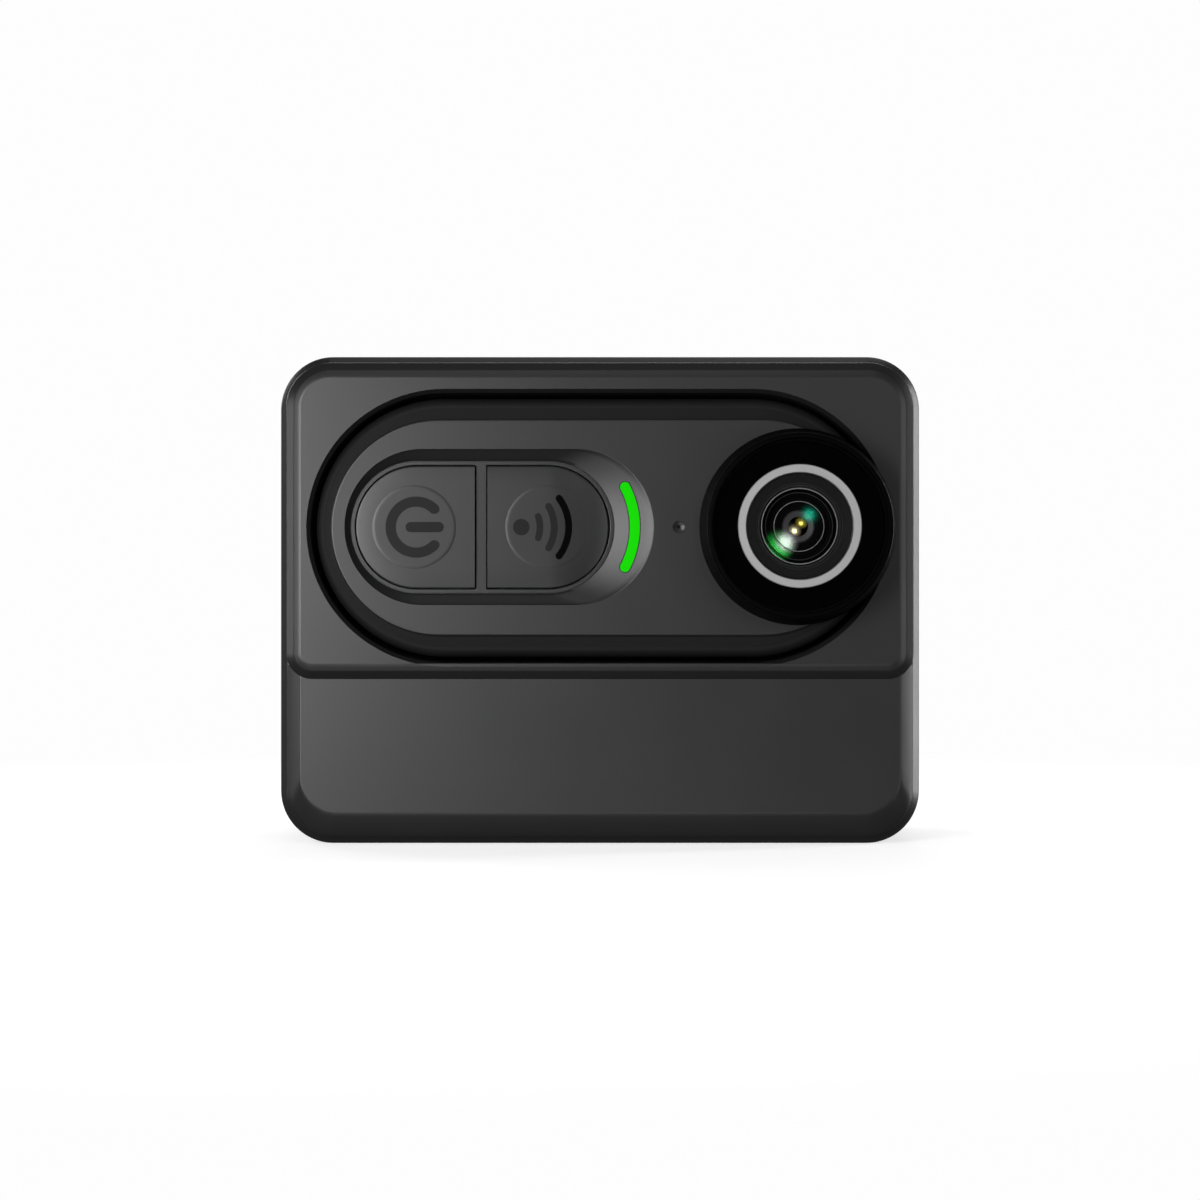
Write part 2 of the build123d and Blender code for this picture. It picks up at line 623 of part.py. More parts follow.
with BuildPart() as camera_front:
    with BuildSketch(front(Y_SEAM)):
        pill(PILL_R)
    extrude(amount=Y_SEAM - Y_LEDGE)
    fillet(edges_at(camera_front.part, Y_LEDGE), 0.75)
    with BuildSketch(front(Y_LEDGE)):
        slot_between(FACE_LEFT, FACE_RIGHT, PILL_Z, FACE_R)
    extrude(amount=Y_LEDGE - Y_FACE)
    fillet(edges_at(camera_front.part, Y_FACE), 0.3)
    with BuildSketch(front(Y_SEAM)):
        pill(PILL_R - PILL_WALL)
    extrude(amount=Y_SEAM - Y_CAVITY, mode=Mode.SUBTRACT)
    add(key_dish.part, mode=Mode.SUBTRACT)
    # Openings for the two keys, with a rib between them
    with BuildSketch(front(Y_CAVITY)):
        slot_between(PAD_LEFT, PAD_RIGHT, KEY_Z, OPENING_R)
        with Locations((RIB_X, KEY_Z)):
            Rectangle(RIB_W, 2 * PAD_R, mode=Mode.SUBTRACT)
    extrude(amount=Y_CAVITY - Y_DISH, mode=Mode.SUBTRACT)
    # Lens hole, microphone hole and the status light's slot
    disc(LENS_X, LENS_Z, BARREL_R + 0.05, Y_FACE, Y_CAVITY, Mode.SUBTRACT)
    disc(MIC_X, KEY_Z, MIC_R, Y_FACE, Y_CAVITY, Mode.SUBTRACT)
    light_arc(Y_FACE, Y_CAVITY, Mode.SUBTRACT)
    # Gasket groove in the seam
    with BuildSketch(front(Y_SEAM)):
        pill(PILL_R - 0.5)
        pill(PILL_R - 1, Mode.SUBTRACT)
    extrude(amount=0.4, mode=Mode.SUBTRACT)
write(camera_front, "camera_front")

with BuildPart() as camera_gasket:
    with BuildSketch(front(Y_SEAM)):
        pill(PILL_R - 0.5)
        pill(PILL_R - 1, Mode.SUBTRACT)
    extrude(amount=0.4)
write(camera_gasket, "camera_gasket")

with BuildPart() as camera_rear:
    with BuildSketch(front(Y_CAMERA_BACK)):
        pill(PILL_R)
    extrude(amount=Y_CAMERA_BACK - Y_SEAM)
    fillet(edges_at(camera_rear.part, Y_CAMERA_BACK), 1.2)
    with BuildSketch(front(Y_CAMERA_INSIDE)):
        pill(PILL_R - PILL_WALL)
    extrude(amount=Y_CAMERA_INSIDE - Y_SEAM, mode=Mode.SUBTRACT)
    block(CONTACT_SPAN_X, (Y_CAMERA_BACK - CONTACT_PLATE_T, Y_CAMERA_BACK), CONTACT_SPAN_Z, Mode.SUBTRACT)
write(camera_rear, "camera_rear")

with BuildPart() as contact_plate:
    block(CONTACT_SPAN_X, (Y_CAMERA_BACK - CONTACT_PLATE_T, Y_CAMERA_BACK), CONTACT_SPAN_Z)
write(contact_plate, "contact_plate")

with BuildPart() as light_guide:
    light_arc(Y_FACE, Y_CAVITY + 0.6)
    add(key_dish.part, mode=Mode.SUBTRACT)
write(light_guide, "light_guide")

# ---- Camera keys -------------------------------------------------------------------------

def key(left_limit, right_limit, disc_x):
    """One key: a capped half of the pad with a flange behind it, a raised disc and a stem."""
    back = Y_CAVITY + 0.7
    for radius, y_front in ((KEY_R, KEY_TOP), (KEY_FLANGE_R, Y_CAVITY + GAP)):
        with BuildSketch(front(back)) as profile:
            slot_between(PAD_LEFT, PAD_RIGHT, KEY_Z, radius)
            with Locations(((left_limit + right_limit) / 2, KEY_Z)):
                Rectangle(right_limit - left_limit, 3 * radius, mode=Mode.INTERSECT)
        extrude(profile.sketch, amount=back - y_front)
    disc(disc_x, KEY_Z, KEY_DISC_R, KEY_DISC_TOP, KEY_TOP)
    disc(disc_x, KEY_Z, 1.2, Y_CAVITY + 0.7, Y_CAVITY + 1)


KEY_INNER = RIB_W / 2 + GAP
with BuildPart() as power_key:
    key(PAD_LEFT - 2 * PAD_R, RIB_X - KEY_INNER, POWER_X)
write(power_key, "power_key")

with BuildPart() as wifi_key:
    key(RIB_X + KEY_INNER, PAD_RIGHT + 2 * PAD_R, WIFI_X)
write(wifi_key, "wifi_key")

for name, x in (("power_switch", POWER_X), ("wifi_switch", WIFI_X)):
    with BuildPart() as key_switch:
        block((x - 1.7, x + 1.7), (Y_CAVITY + 1.6, Y_CAVITY + 1.9), (KEY_Z - 1.7, KEY_Z + 1.7))
        disc(x, KEY_Z, 1.1, Y_CAVITY + 1.4, Y_CAVITY + 1.6)
    write(key_switch, name)

with BuildPart() as key_board:
    with BuildSketch(front(Y_CAVITY + 2.7)):
        slot_between(PAD_LEFT, PAD_RIGHT, KEY_Z, 7)
    extrude(amount=0.8)
write(key_board, "key_board")

# ---- Camera insides ----------------------------------------------------------------------

with BuildPart() as camera_battery:
    block((-23.2, 0), (-6.9, -2.7), (PILL_Z - 7.4, PILL_Z + 7.4))
    fillet(camera_battery.edges().filter_by(Axis.Y), 1.5)
write(camera_battery, "camera_battery")

with BuildPart() as camera_board:
    block((-20.5, 10), (-2.4, -1.6), (PILL_Z - 8.2, PILL_Z + 8.2))
    block((1.5, 9), (-4, -2.4), (PILL_Z - 4, PILL_Z + 4))
write(camera_board, "camera_board")

with BuildPart() as camera_microphone:
    block((MIC_X - 1.5, MIC_X + 1.5), (Y_CAVITY, Y_CAVITY + 1.1), (KEY_Z - 2, KEY_Z + 2))
write(camera_microphone, "camera_microphone")

for side, name in ((-1, "left"), (1, "right")):
    with BuildPart() as camera_magnet:
        disc(side * MAGNET_X, PILL_Z, MAGNET_R, Y_CAMERA_INSIDE - 1.2, Y_CAMERA_INSIDE)
    write(camera_magnet, f"camera_magnet_{name}")

with BuildPart() as sensor_board:
    block((LENS_X - 6.4, LENS_X + 4.9), (-3.3, -2.5), (LENS_Z - 6, LENS_Z + 6))
write(sensor_board, "sensor_board")

with BuildPart() as image_sensor:
    block((LENS_X - 4, LENS_X + 4), (-4.2, -3.3), (LENS_Z - 3.2, LENS_Z + 3.2))
write(image_sensor, "image_sensor")

# ---- Lens --------------------------------------------------------------------------------

with BuildPart() as lens_guard:
    with Locations((LENS_X, (Y_GUARD + Y_FACE) / 2, LENS_Z)):
        Cone(GUARD_R, GUARD_FRONT_R, Y_FACE - Y_GUARD, rotation=(90, 0, 0))
    disc(LENS_X, LENS_Z, GLASS_R + 0.05, Y_GUARD, Y_GUARD + 1, Mode.SUBTRACT)
    disc(LENS_X, LENS_Z, BARREL_FLANGE_R + GAP, Y_GUARD + 1, Y_FACE, Mode.SUBTRACT)
write(lens_guard, "lens_guard")

with BuildPart() as guard_glass:
    disc(LENS_X, LENS_Z, GLASS_R, Y_GUARD + 0.15, Y_GUARD + 1)
write(guard_glass, "guard_glass")

with BuildPart() as lens_barrel:
    ring(BARREL_R, 3.2, Y_GUARD + 1.2, -4.6)
    ring(BARREL_FLANGE_R, 4, Y_GUARD + 1.6, Y_GUARD + 2.4)
    disc(LENS_X, LENS_Z, 4, -13, -9.5, Mode.SUBTRACT)
    disc(LENS_X, LENS_Z, 4.9, Y_GUARD + 1.2, -13, Mode.SUBTRACT)
write(lens_barrel, "lens_barrel")

with BuildPart() as lens_mask:
    ring(BARREL_FLANGE_R, TRIM_OUTER_R + 0.05, Y_GUARD + 1.15, Y_GUARD + 1.6)
write(lens_mask, "lens_mask")

with BuildPart() as lens_trim:
    ring(TRIM_OUTER_R, TRIM_INNER_R, Y_GUARD + 1.1, Y_GUARD + 1.6)
write(lens_trim, "lens_trim")

with BuildPart() as lens_front_element:
    disc(LENS_X, LENS_Z, 4.85, Y_GUARD + 1.2, -13)
    with Locations((LENS_X, Y_GUARD + 1.2 + DOME_R, LENS_Z)):
        Sphere(DOME_R, mode=Mode.INTERSECT)
write(lens_front_element, "lens_front_element")

with BuildPart() as lens_iris:
    ring(3.95, 1.4, -12.9, -12.6)
write(lens_iris, "lens_iris")

with BuildPart() as lens_inner_element:
    disc(LENS_X, LENS_Z, 3.95, -12.2, -10.2)
write(lens_inner_element, "lens_inner_element")

with BuildPart() as lens_rear_element:
    disc(LENS_X, LENS_Z, 3.15, -8.6, -6.6)
write(lens_rear_element, "lens_rear_element")
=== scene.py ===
"""Looks of the pocket action camera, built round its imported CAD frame.
Lengths are in millimetres until a mesh is made."""
import bmesh
import bpy
import json
from math import asin, cos, degrees, hypot, pi, radians, sin, sqrt, tan
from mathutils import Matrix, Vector
from mathutils.geometry import tessellate_polygon


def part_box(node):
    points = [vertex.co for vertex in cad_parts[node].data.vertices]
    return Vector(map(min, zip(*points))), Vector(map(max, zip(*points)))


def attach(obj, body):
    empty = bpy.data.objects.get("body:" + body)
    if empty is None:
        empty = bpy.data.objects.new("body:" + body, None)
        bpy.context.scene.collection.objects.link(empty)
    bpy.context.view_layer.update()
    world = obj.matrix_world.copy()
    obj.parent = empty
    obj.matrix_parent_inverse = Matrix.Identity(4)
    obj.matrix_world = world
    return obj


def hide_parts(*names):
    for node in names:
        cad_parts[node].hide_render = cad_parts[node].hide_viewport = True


MM = 0.001
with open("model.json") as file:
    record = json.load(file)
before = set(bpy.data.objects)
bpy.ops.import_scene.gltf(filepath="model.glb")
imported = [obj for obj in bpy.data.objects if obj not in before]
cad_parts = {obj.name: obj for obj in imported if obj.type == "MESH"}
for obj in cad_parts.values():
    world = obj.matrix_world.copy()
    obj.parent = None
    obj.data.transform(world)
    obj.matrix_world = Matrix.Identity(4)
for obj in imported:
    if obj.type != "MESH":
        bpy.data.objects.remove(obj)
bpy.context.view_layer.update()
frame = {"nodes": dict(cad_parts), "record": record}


# ---- Places, read from the frame ----

def span(node):
    """A CAD node's limits in millimetres, as (x0, x1), (y0, y1), (z0, z1)."""
    low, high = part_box(node)
    return [(a / MM, b / MM) for a, b in zip(low, high)]


def middle(limits):
    return (limits[0] + limits[1]) / 2


def spread(limits, by):
    """Limits moved this far out at both ends, or in if it is negative."""
    return limits[0] - by, limits[1] + by


def around(centre, half):
    return centre - half, centre + half


HOUSING = span("main_housing")
COVER = span("front_cover")
LINER = span("well_liner")
SHELL = span("camera_front")
BACK = span("camera_rear")
POWER = span("power_key")
WIFI = span("wifi_key")
GUARD = span("lens_guard")
GUARD_GLASS = span("guard_glass")
SCREEN = span("screen_shell")
KNUCKLE = span("hinge_knuckle")
PIN = span("hinge_pin")
GLASS = span("screen_glass")
RECORD = span("record_button")
SIDE_KEY = span("side_key")
DOOR = span("usb_door")
SEAL = span("usb_door_seal")
PORT = span("usb_receptacle")
INSERT = span("tripod_insert")
PINS = span("contact_pins")
PLATE = span("contact_plate")
TRIM = span("lens_trim")
SPEAKER = span("pod_speaker")
POD_MIC = span("pod_microphone")

# The pod
BODY_R = 5.25                   # its corners, seen from the front
RIM = 0.75                      # the chamfer between its sides and its front
WALL = 1.8
WELL_WALL = 1.0
GAP = 0.1                       # clearance round a moving piece
RECORD_X = spread(RECORD[0], -0.8)
RECORD_Y = spread(RECORD[1], -0.3)
SIDE_Y = spread(SIDE_KEY[1], -0.3)
SIDE_Z = spread(SIDE_KEY[2], -0.8)
HINGE_Y = middle(PIN[1])
HINGE_Z = middle(PIN[2])
PIN_X = [middle(PINS[0]) + step * 2.0 for step in (-1, 0, 1)]

# The camera: a pill, and the step, dish and wall of its front
PILL_R = (SHELL[2][1] - SHELL[2][0]) / 2
PILL_Z = middle(SHELL[2])
PILL_LEFT = SHELL[0][0] + PILL_R
PILL_RIGHT = SHELL[0][1] - PILL_R
WELL_R = (LINER[2][1] - LINER[2][0]) / 2 - WELL_WALL
Y_FACE = SHELL[1][0]
Y_LEDGE = Y_FACE + 0.6          # the step round the face
Y_DISH = Y_FACE + 0.8           # the dish's bottom
Y_INSIDE = Y_FACE + 1.6         # the wall's inside
Y_SEAM = SHELL[1][1]
PILL_WALL = 1.5
FACE_R = 10.7
FACE_LEFT = -15.9
FACE_RIGHT = 16.05

# The keys: halves of one pad, in openings at the bottom of the dish
KEY_FLANGE_R = (POWER[2][1] - POWER[2][0]) / 2
KEY_Z = middle(POWER[2])
PAD_LEFT = POWER[0][0] + KEY_FLANGE_R
PAD_RIGHT = WIFI[0][1] - KEY_FLANGE_R
KEY_R = KEY_FLANGE_R - 0.42
OPENING_R = KEY_R + GAP
PAD_R = KEY_R + 0.55
CUT_LEFT = POWER[0][1]
CUT_RIGHT = WIFI[0][0]
DISH_R = PAD_R + 1.11
DISH_LEFT = PAD_LEFT + 0.59
DISH_RIGHT = PAD_RIGHT + 2.7
POWER_X = PAD_LEFT - 0.24
WIFI_X = PAD_RIGHT - 0.07
DISC_R = 4.15                   # the raised disc on each key
KEY_TOP_Y = Y_DISH - 0.5
LIGHT_R = 8.57                  # the status light's curve, and half its angle in degrees
LIGHT_HALF = 27.5

# The lens and the microphone
LENS_X = middle(GUARD[0])
LENS_Z = middle(GUARD[2])
Y_GUARD = GUARD[1][0]
Y_TRIM = TRIM[1][0]
Y_SEAT = Y_TRIM + 0.9           # where the lens's retaining rings stand
Y_IRIS = Y_TRIM + 2.6
BARREL_SEAT = 8.3
DOME_R = 11.0                   # the front element's front face
# Each element's two faces carry painted glint patches of different tints, split at these depths
FRONT_SPLIT = Y_SEAT + 0.5      # between the front element's two coated faces
REAR_SPLIT = Y_IRIS + 0.4       # and between the rear element's
MIC_X = middle(span("camera_microphone")[0])
MIC_R = 0.58


# ---- Outlines: closed loops of (x, z), counter-clockwise seen from the front ----

def arc(cx, cz, r, start, end, steps):
    """Points round a centre, both ends included. Angles are in degrees."""
    angles = [radians(start + (end - start) * k / steps) for k in range(steps + 1)]
    return [(cx + r * cos(a), cz + r * sin(a)) for a in angles]


def between(a, b, count):
    """Points inside the straight run from a to b."""
    return [(a[0] + (b[0] - a[0]) * k / count, a[1] + (b[1] - a[1]) * k / count) for k in range(1, count)]


def joined(runs, count):
    """Arcs joined by straight runs into one loop."""
    loop = []
    for run, following in zip(runs, runs[1:] + runs[:1]):
        loop += run + between(run[-1], following[0], count)
    return loop


def slot(left, right, z, r, steps=48, count=16):
    """A slot whose round ends are centred at left and right."""
    return joined([arc(right, z, r, -90, 90, steps), arc(left, z, r, 90, 270, steps)], count)


def slot_between(a, b, grow, steps, count):
    """A slot that fills two pairs of limits, round at its ends across a, and grown this much."""
    half = (b[1] - b[0]) / 2
    return slot(a[0] + half, a[1] - half, middle(b), half + grow, steps, count)


def pill(inset):
    return slot(PILL_LEFT, PILL_RIGHT, PILL_Z, PILL_R - inset)


def well(grow=0.0):
    return slot(PILL_LEFT, PILL_RIGHT, PILL_Z, WELL_R + grow)


def rounded(x0, x1, z0, z1, radii, steps=14, count=10):
    """A rounded rectangle. radii are (bottom, top) or one number."""
    low, high = radii if isinstance(radii, tuple) else (radii, radii)
    corners = ((x1 - low, z0 + low, low), (x1 - high, z1 - high, high),
               (x0 + high, z1 - high, high), (x0 + low, z0 + low, low))
    arcs = [arc(*corner, start, start + 90, steps) for corner, start in zip(corners, (-90, 0, 90, 180))]
    return joined(arcs, count)


def framed(x, z, inset, radii, steps=14, count=10):
    """A rounded rectangle set in from these limits."""
    return rounded(*spread(x, -inset), *spread(z, -inset), radii, steps, count)


def circle(cx, cz, r, steps=64):
    return [(cx + r * cos(2 * pi * k / steps), cz + r * sin(2 * pi * k / steps)) for k in range(steps)]


def key_half(side, r, cut, steps=40, count=14):
    """One half of the key pad: round at its outer end, cut straight at the divider."""
    centre, start = (PAD_LEFT, 90) if side < 0 else (PAD_RIGHT, -90)
    low, high = (cut, KEY_Z + side * r), (cut, KEY_Z - side * r)
    return joined([arc(centre, KEY_Z, r, start, start + 180, steps), [low], [high]], count)


def convex(i0, y0, i1, y1, steps=8):
    """(inset, y) pairs that leave a wall and round over on to a face."""
    angles = [pi / 2 * k / steps for k in range(steps + 1)]
    return [(i0 + (i1 - i0) * (1 - cos(a)), y0 + (y1 - y0) * sin(a)) for a in angles]


def stepped(y, *pairs):
    """(inset, y) or (radius, y) pairs, from pairs whose depth is measured from y."""
    return [(across, y + depth) for across, depth in pairs]


# ---- Meshes ----

SHARP = 32                      # an edge over this many degrees stays sharp


class Builder:
    """Collects rings of points, the walls between them and the flat plates that close them."""

    def __init__(self):
        self.points = []
        self.faces = []

    def ring(self, loop, y):
        """A loop of (x, z) at depth y."""
        return self.add([(x, y, z) for x, z in loop])

    def add(self, points):
        """A ring of (x, y, z) points."""
        start = len(self.points)
        self.points += points
        return list(range(start, len(self.points)))

    def bridge(self, a, b):
        for k in range(len(a)):
            following = (k + 1) % len(a)
            self.faces.append((a[k], a[following], b[following], b[k]))

    def skin(self, rings, closed=False):
        for a, b in zip(rings, rings[1:]):
            self.bridge(a, b)
        if closed:
            self.bridge(rings[-1], rings[0])

    def cap(self, ring):
        self.faces.append(tuple(ring))

    def plate(self, outer, *holes):
        """A flat face with holes in it."""
        rings = (outer, *holes)
        index = [k for ring in rings for k in ring]
        flat = [[Vector((self.points[k][0], self.points[k][2], 0)) for k in ring] for ring in rings]
        self.faces += [tuple(index[k] for k in triangle) for triangle in tessellate_polygon(flat)]

    def make(self, name, sharp=SHARP):
        mesh = bpy.data.meshes.new(name)
        mesh.from_pydata([Vector(p) * MM for p in self.points], [], self.faces)
        work = bmesh.new()
        work.from_mesh(mesh)
        bmesh.ops.remove_doubles(work, verts=work.verts, dist=1e-7)
        bmesh.ops.recalc_face_normals(work, faces=work.faces)
        work.to_mesh(mesh)
        work.free()
        piece = bpy.data.objects.new(name, mesh)
        bpy.context.collection.objects.link(piece)
        return smooth(piece, sharp)


def smooth(piece, sharp=SHARP):
    """Smooth shading that keeps sharp edges, and keeps the triangles of flat front and back plates flat."""
    piece.data.shade_smooth()
    piece.data.set_sharp_from_angle(angle=radians(sharp))
    for face in piece.data.polygons:
        if len(face.vertices) == 3 and abs(face.normal.y) > 0.99999:
            face.use_smooth = False
    if "flat" not in piece.modifiers:
        weighted = piece.modifiers.new("flat", "WEIGHTED_NORMAL")
        weighted.keep_sharp = True
        weighted.weight = 100
    return piece


def solid(name, rings, sharp=SHARP, closed=False):
    """A solid through rings of (x, y, z) points, flat at both ends, or a closed tube."""
    made = Builder()
    rings = [made.add(points) for points in rings]
    made.skin(rings, closed)
    if not closed:
        made.cap(rings[0])
        made.cap(rings[-1])
    return made.make(name, sharp)


def loft(name, loops, sharp=SHARP, closed=False):
    """The same through a list of (loop, y)."""
    return solid(name, [[(x, y, z) for x, z in loop] for loop, y in loops], sharp, closed)


def lathe(name, profile, cx, cz, steps=128, sharp=SHARP, closed=True):
    """A turned piece about the line through (cx, cz) along Y. profile is a list of (radius, y)."""
    made = Builder()
    made.skin([made.ring(circle(cx, cz, r, steps), y) for r, y in profile], closed)
    return made.make(name, sharp)


def plug(name, outline, ends, axis):
    """A straight solid along one axis. outline has the other two coordinates, in their order."""
    point = {"x": lambda a, b, c: (c, a, b),
             "y": lambda a, b, c: (a, c, b),
             "z": lambda a, b, c: (a, b, c)}[axis]
    return solid(name, [[point(a, b, c) for a, b in outline] for c in ends])


def block(name, x, y, z, r=0.001, axis="y"):
    """A block with four rounded edges along one axis."""
    across, up, ends = {"x": (y, z, x), "y": (x, z, y), "z": (x, y, z)}[axis]
    return plug(name, rounded(*across, *up, r, steps=8, count=1), ends, axis)


def carve(piece, cutters, operation="DIFFERENCE"):
    """Cuts other pieces out of this one, or joins them to it, and removes them."""
    piece.modifiers.clear()
    for cutter in cutters:
        cutter.modifiers.clear()
        change = piece.modifiers.new("cut", "BOOLEAN")
        change.operation = operation
        change.solver = "EXACT"
        change.object = cutter
    settle(piece)
    for cutter in cutters:
        bpy.data.objects.remove(cutter)
    return smooth(piece)


def settle(piece):
    """Applies a piece's modifiers to its mesh."""
    graph = bpy.context.evaluated_depsgraph_get()
    mesh = bpy.data.meshes.new_from_object(piece.evaluated_get(graph))
    piece.modifiers.clear()
    piece.data = mesh


def soften(piece, width, segments=2, angle=40):
    """Small rounds on a piece's sharp edges."""
    piece.modifiers.clear()
    bevel = piece.modifiers.new("round", "BEVEL")
    bevel.width = width * MM
    bevel.segments = segments
    bevel.limit_method = "ANGLE"
    bevel.angle_limit = radians(angle)
    bevel.use_clamp_overlap = True
    settle(piece)
    return smooth(piece, 50)


# ---- Materials ----

class Recipe:
    """A node material built round one Principled shader."""

    def __init__(self, name, base, roughness, metallic=0.0, specular=0.5):
        self.material = bpy.data.materials.new(name)
        self.material.use_nodes = True
        self.nodes = self.material.node_tree.nodes
        self.links = self.material.node_tree.links
        self.shader = self.nodes["Principled BSDF"]
        self.base = base
        self.roughness = roughness
        self.shader.inputs["Base Color"].default_value = (*base, 1)
        self.shader.inputs["Roughness"].default_value = roughness
        self.shader.inputs["Metallic"].default_value = metallic
        self.shader.inputs["Specular IOR Level"].default_value = specular
        self.place = self.nodes.new("ShaderNodeTexCoord").outputs["Object"]

    def node(self, kind, values=(), **settings):
        """A new shader node with these settings, and these values in its inputs."""
        made = self.nodes.new("ShaderNode" + kind)
        for setting, value in settings.items():
            setattr(made, setting, value)
        for socket, value in dict(values).items():
            made.inputs[socket].default_value = value
        return made

    def noise(self, size, detail=2.0, vector=None):
        """size is in millimetres."""
        node = self.node("TexNoise", {"Scale": 1 / (size * MM), "Detail": detail})
        self.links.new(vector or self.place, node.inputs["Vector"])
        return node.outputs["Fac"]

    def remap(self, value, low, high):
        """The middle of a noise's range brought to these limits."""
        node = self.node("MapRange", {"From Min": 0.3, "From Max": 0.7, "To Min": low, "To Max": high})
        self.links.new(value, node.inputs["Value"])
        return node.outputs["Result"]

    def tone(self, value, amount):
        """The base colour varied a little, up and down, by a value."""
        dark = (*[c * (1 - amount) for c in self.base], 1)
        light = (*[min(c * (1 + amount), 1) for c in self.base], 1)
        node = self.node("Mix", {"A": dark, "B": light}, data_type="RGBA")
        self.links.new(value, node.inputs["Factor"])
        self.links.new(node.outputs["Result"], self.shader.inputs["Base Color"])

    def vary_roughness(self, value, amount):
        result = self.remap(value, self.roughness - amount, self.roughness + amount)
        self.links.new(result, self.shader.inputs["Roughness"])

    def patch(self, where, strength):
        """A value that is strength at a place on the lens and fades to nothing at its reach."""
        # The value is the mask that places a painted glint on the lens
        (x, z), reach = where
        centre = ((LENS_X + x) * MM, 0, (LENS_Z + z) * MM)
        flat = self.node("VectorMath", {1: (1, 0, 1)}, operation="MULTIPLY")
        away = self.node("VectorMath", {1: centre}, operation="DISTANCE")
        self.links.new(self.place, flat.inputs[0])
        self.links.new(flat.outputs["Vector"], away.inputs[0])
        fade = {"From Min": reach * MM, "From Max": 0.35 * reach * MM, "To Max": strength}
        node = self.node("MapRange", fade, interpolation_type="SMOOTHSTEP")
        self.links.new(away.outputs["Value"], node.inputs["Value"])
        return node.outputs["Result"]

    def bump(self, value, depth, strength=1.0):
        """depth is in millimetres."""
        node = self.node("Bump", {"Distance": depth * MM, "Strength": strength})
        self.links.new(value, node.inputs["Height"])
        self.links.new(node.outputs["Normal"], self.shader.inputs["Normal"])


def moulded(name, base, roughness, grain, depth, specular=0.5):
    """Moulded plastic: a fine spark-eroded grain, with slight changes of tone and sheen.
    grain and depth are in millimetres."""
    made = Recipe(name, base, roughness, specular=specular)
    fine = made.noise(grain, 3)
    broad = made.noise(9, 2)
    made.tone(broad, 0.03)
    made.vary_roughness(broad, 0.012)
    made.bump(fine, depth)
    return made.material


def brushed(name, base, roughness, direction=(1, 1, 1), metallic=1.0, depth=0.002):
    """Metal with a grain drawn along one axis."""
    made = Recipe(name, base, roughness, metallic=metallic)
    stretch = made.node("Mapping", {"Scale": direction})
    made.links.new(made.place, stretch.inputs["Vector"])
    grain = made.noise(0.12, 3, stretch.outputs["Vector"])
    made.tone(grain, 0.08)
    made.vary_roughness(grain, 0.06)
    made.bump(grain, depth)
    return made.material


def coated(name, base, roughness, alpha=1.0, specular=0.5, coat=0.0):
    """Glass, gloss black and other smooth finishes, with faint surface haze."""
    made = Recipe(name, base, roughness, specular=specular)
    haze = made.noise(3, 3)
    made.vary_roughness(haze, min(roughness * 0.3, 0.02))
    made.shader.inputs["Alpha"].default_value = alpha
    made.shader.inputs["Coat Weight"].default_value = coat
    made.shader.inputs["Coat Roughness"].default_value = 0.03
    return made.material


def glint_film(name, tint, roughness, strength, patch, back=None, depth=0.0):
    """Painted glints: a thin metal film on a lens element, clear but in a patch of tinted reflection.
    patch is ((x, z), reach) from the lens's centre; back is the (tint, strength, patch) behind this depth."""
    # The patch paints where a glint shows; the lamp lens_spark gives the light it reflects
    made = Recipe(name, tint, roughness, metallic=1.0)
    made.tone(made.noise(4, 2), 0.05)
    alpha = made.patch(patch, strength)
    if back:
        back_tint, back_strength, back_patch = back
        colour = made.shader.inputs["Base Color"]
        behind = made.node("Math", {1: depth * MM}, operation="GREATER_THAN")
        parts = made.node("SeparateXYZ")
        made.links.new(made.place, parts.inputs["Vector"])
        made.links.new(parts.outputs["Y"], behind.inputs[0])
        colours = made.node("Mix", {"B": (*back_tint, 1)}, data_type="RGBA")
        alphas = made.node("Mix")
        made.links.new(colour.links[0].from_socket, colours.inputs["A"])
        made.links.new(alpha, alphas.inputs["A"])
        made.links.new(made.patch(back_patch, back_strength), alphas.inputs["B"])
        for mix in (colours, alphas):
            made.links.new(behind.outputs["Value"], mix.inputs["Factor"])
        made.links.new(colours.outputs["Result"], colour)
        alpha = alphas.outputs["Result"]
    made.links.new(alpha, made.shader.inputs["Alpha"])
    return made.material


def glow(name, base, light):
    """A lit plastic light guide, slightly uneven along its length."""
    made = Recipe(name, base, 0.6, specular=0.03)
    made.tone(made.noise(1.5, 2), 0.1)
    made.shader.inputs["Emission Color"].default_value = (*light, 1)
    made.shader.inputs["Emission Strength"].default_value = 1.0
    return made.material


def board_material(name):
    """Green solder mask with tracks showing through."""
    made = Recipe(name, (0.012, 0.09, 0.035), 0.35)
    tracks = made.node("TexVoronoi", {"Scale": 1 / (1.6 * MM)}, feature="DISTANCE_TO_EDGE")
    made.links.new(made.place, tracks.inputs["Vector"])
    made.tone(made.remap(tracks.outputs["Distance"], 0, 1), 0.4)
    made.bump(tracks.outputs["Distance"], 0.02, 0.4)
    return made.material


def grey(value):
    return (value, value, value)


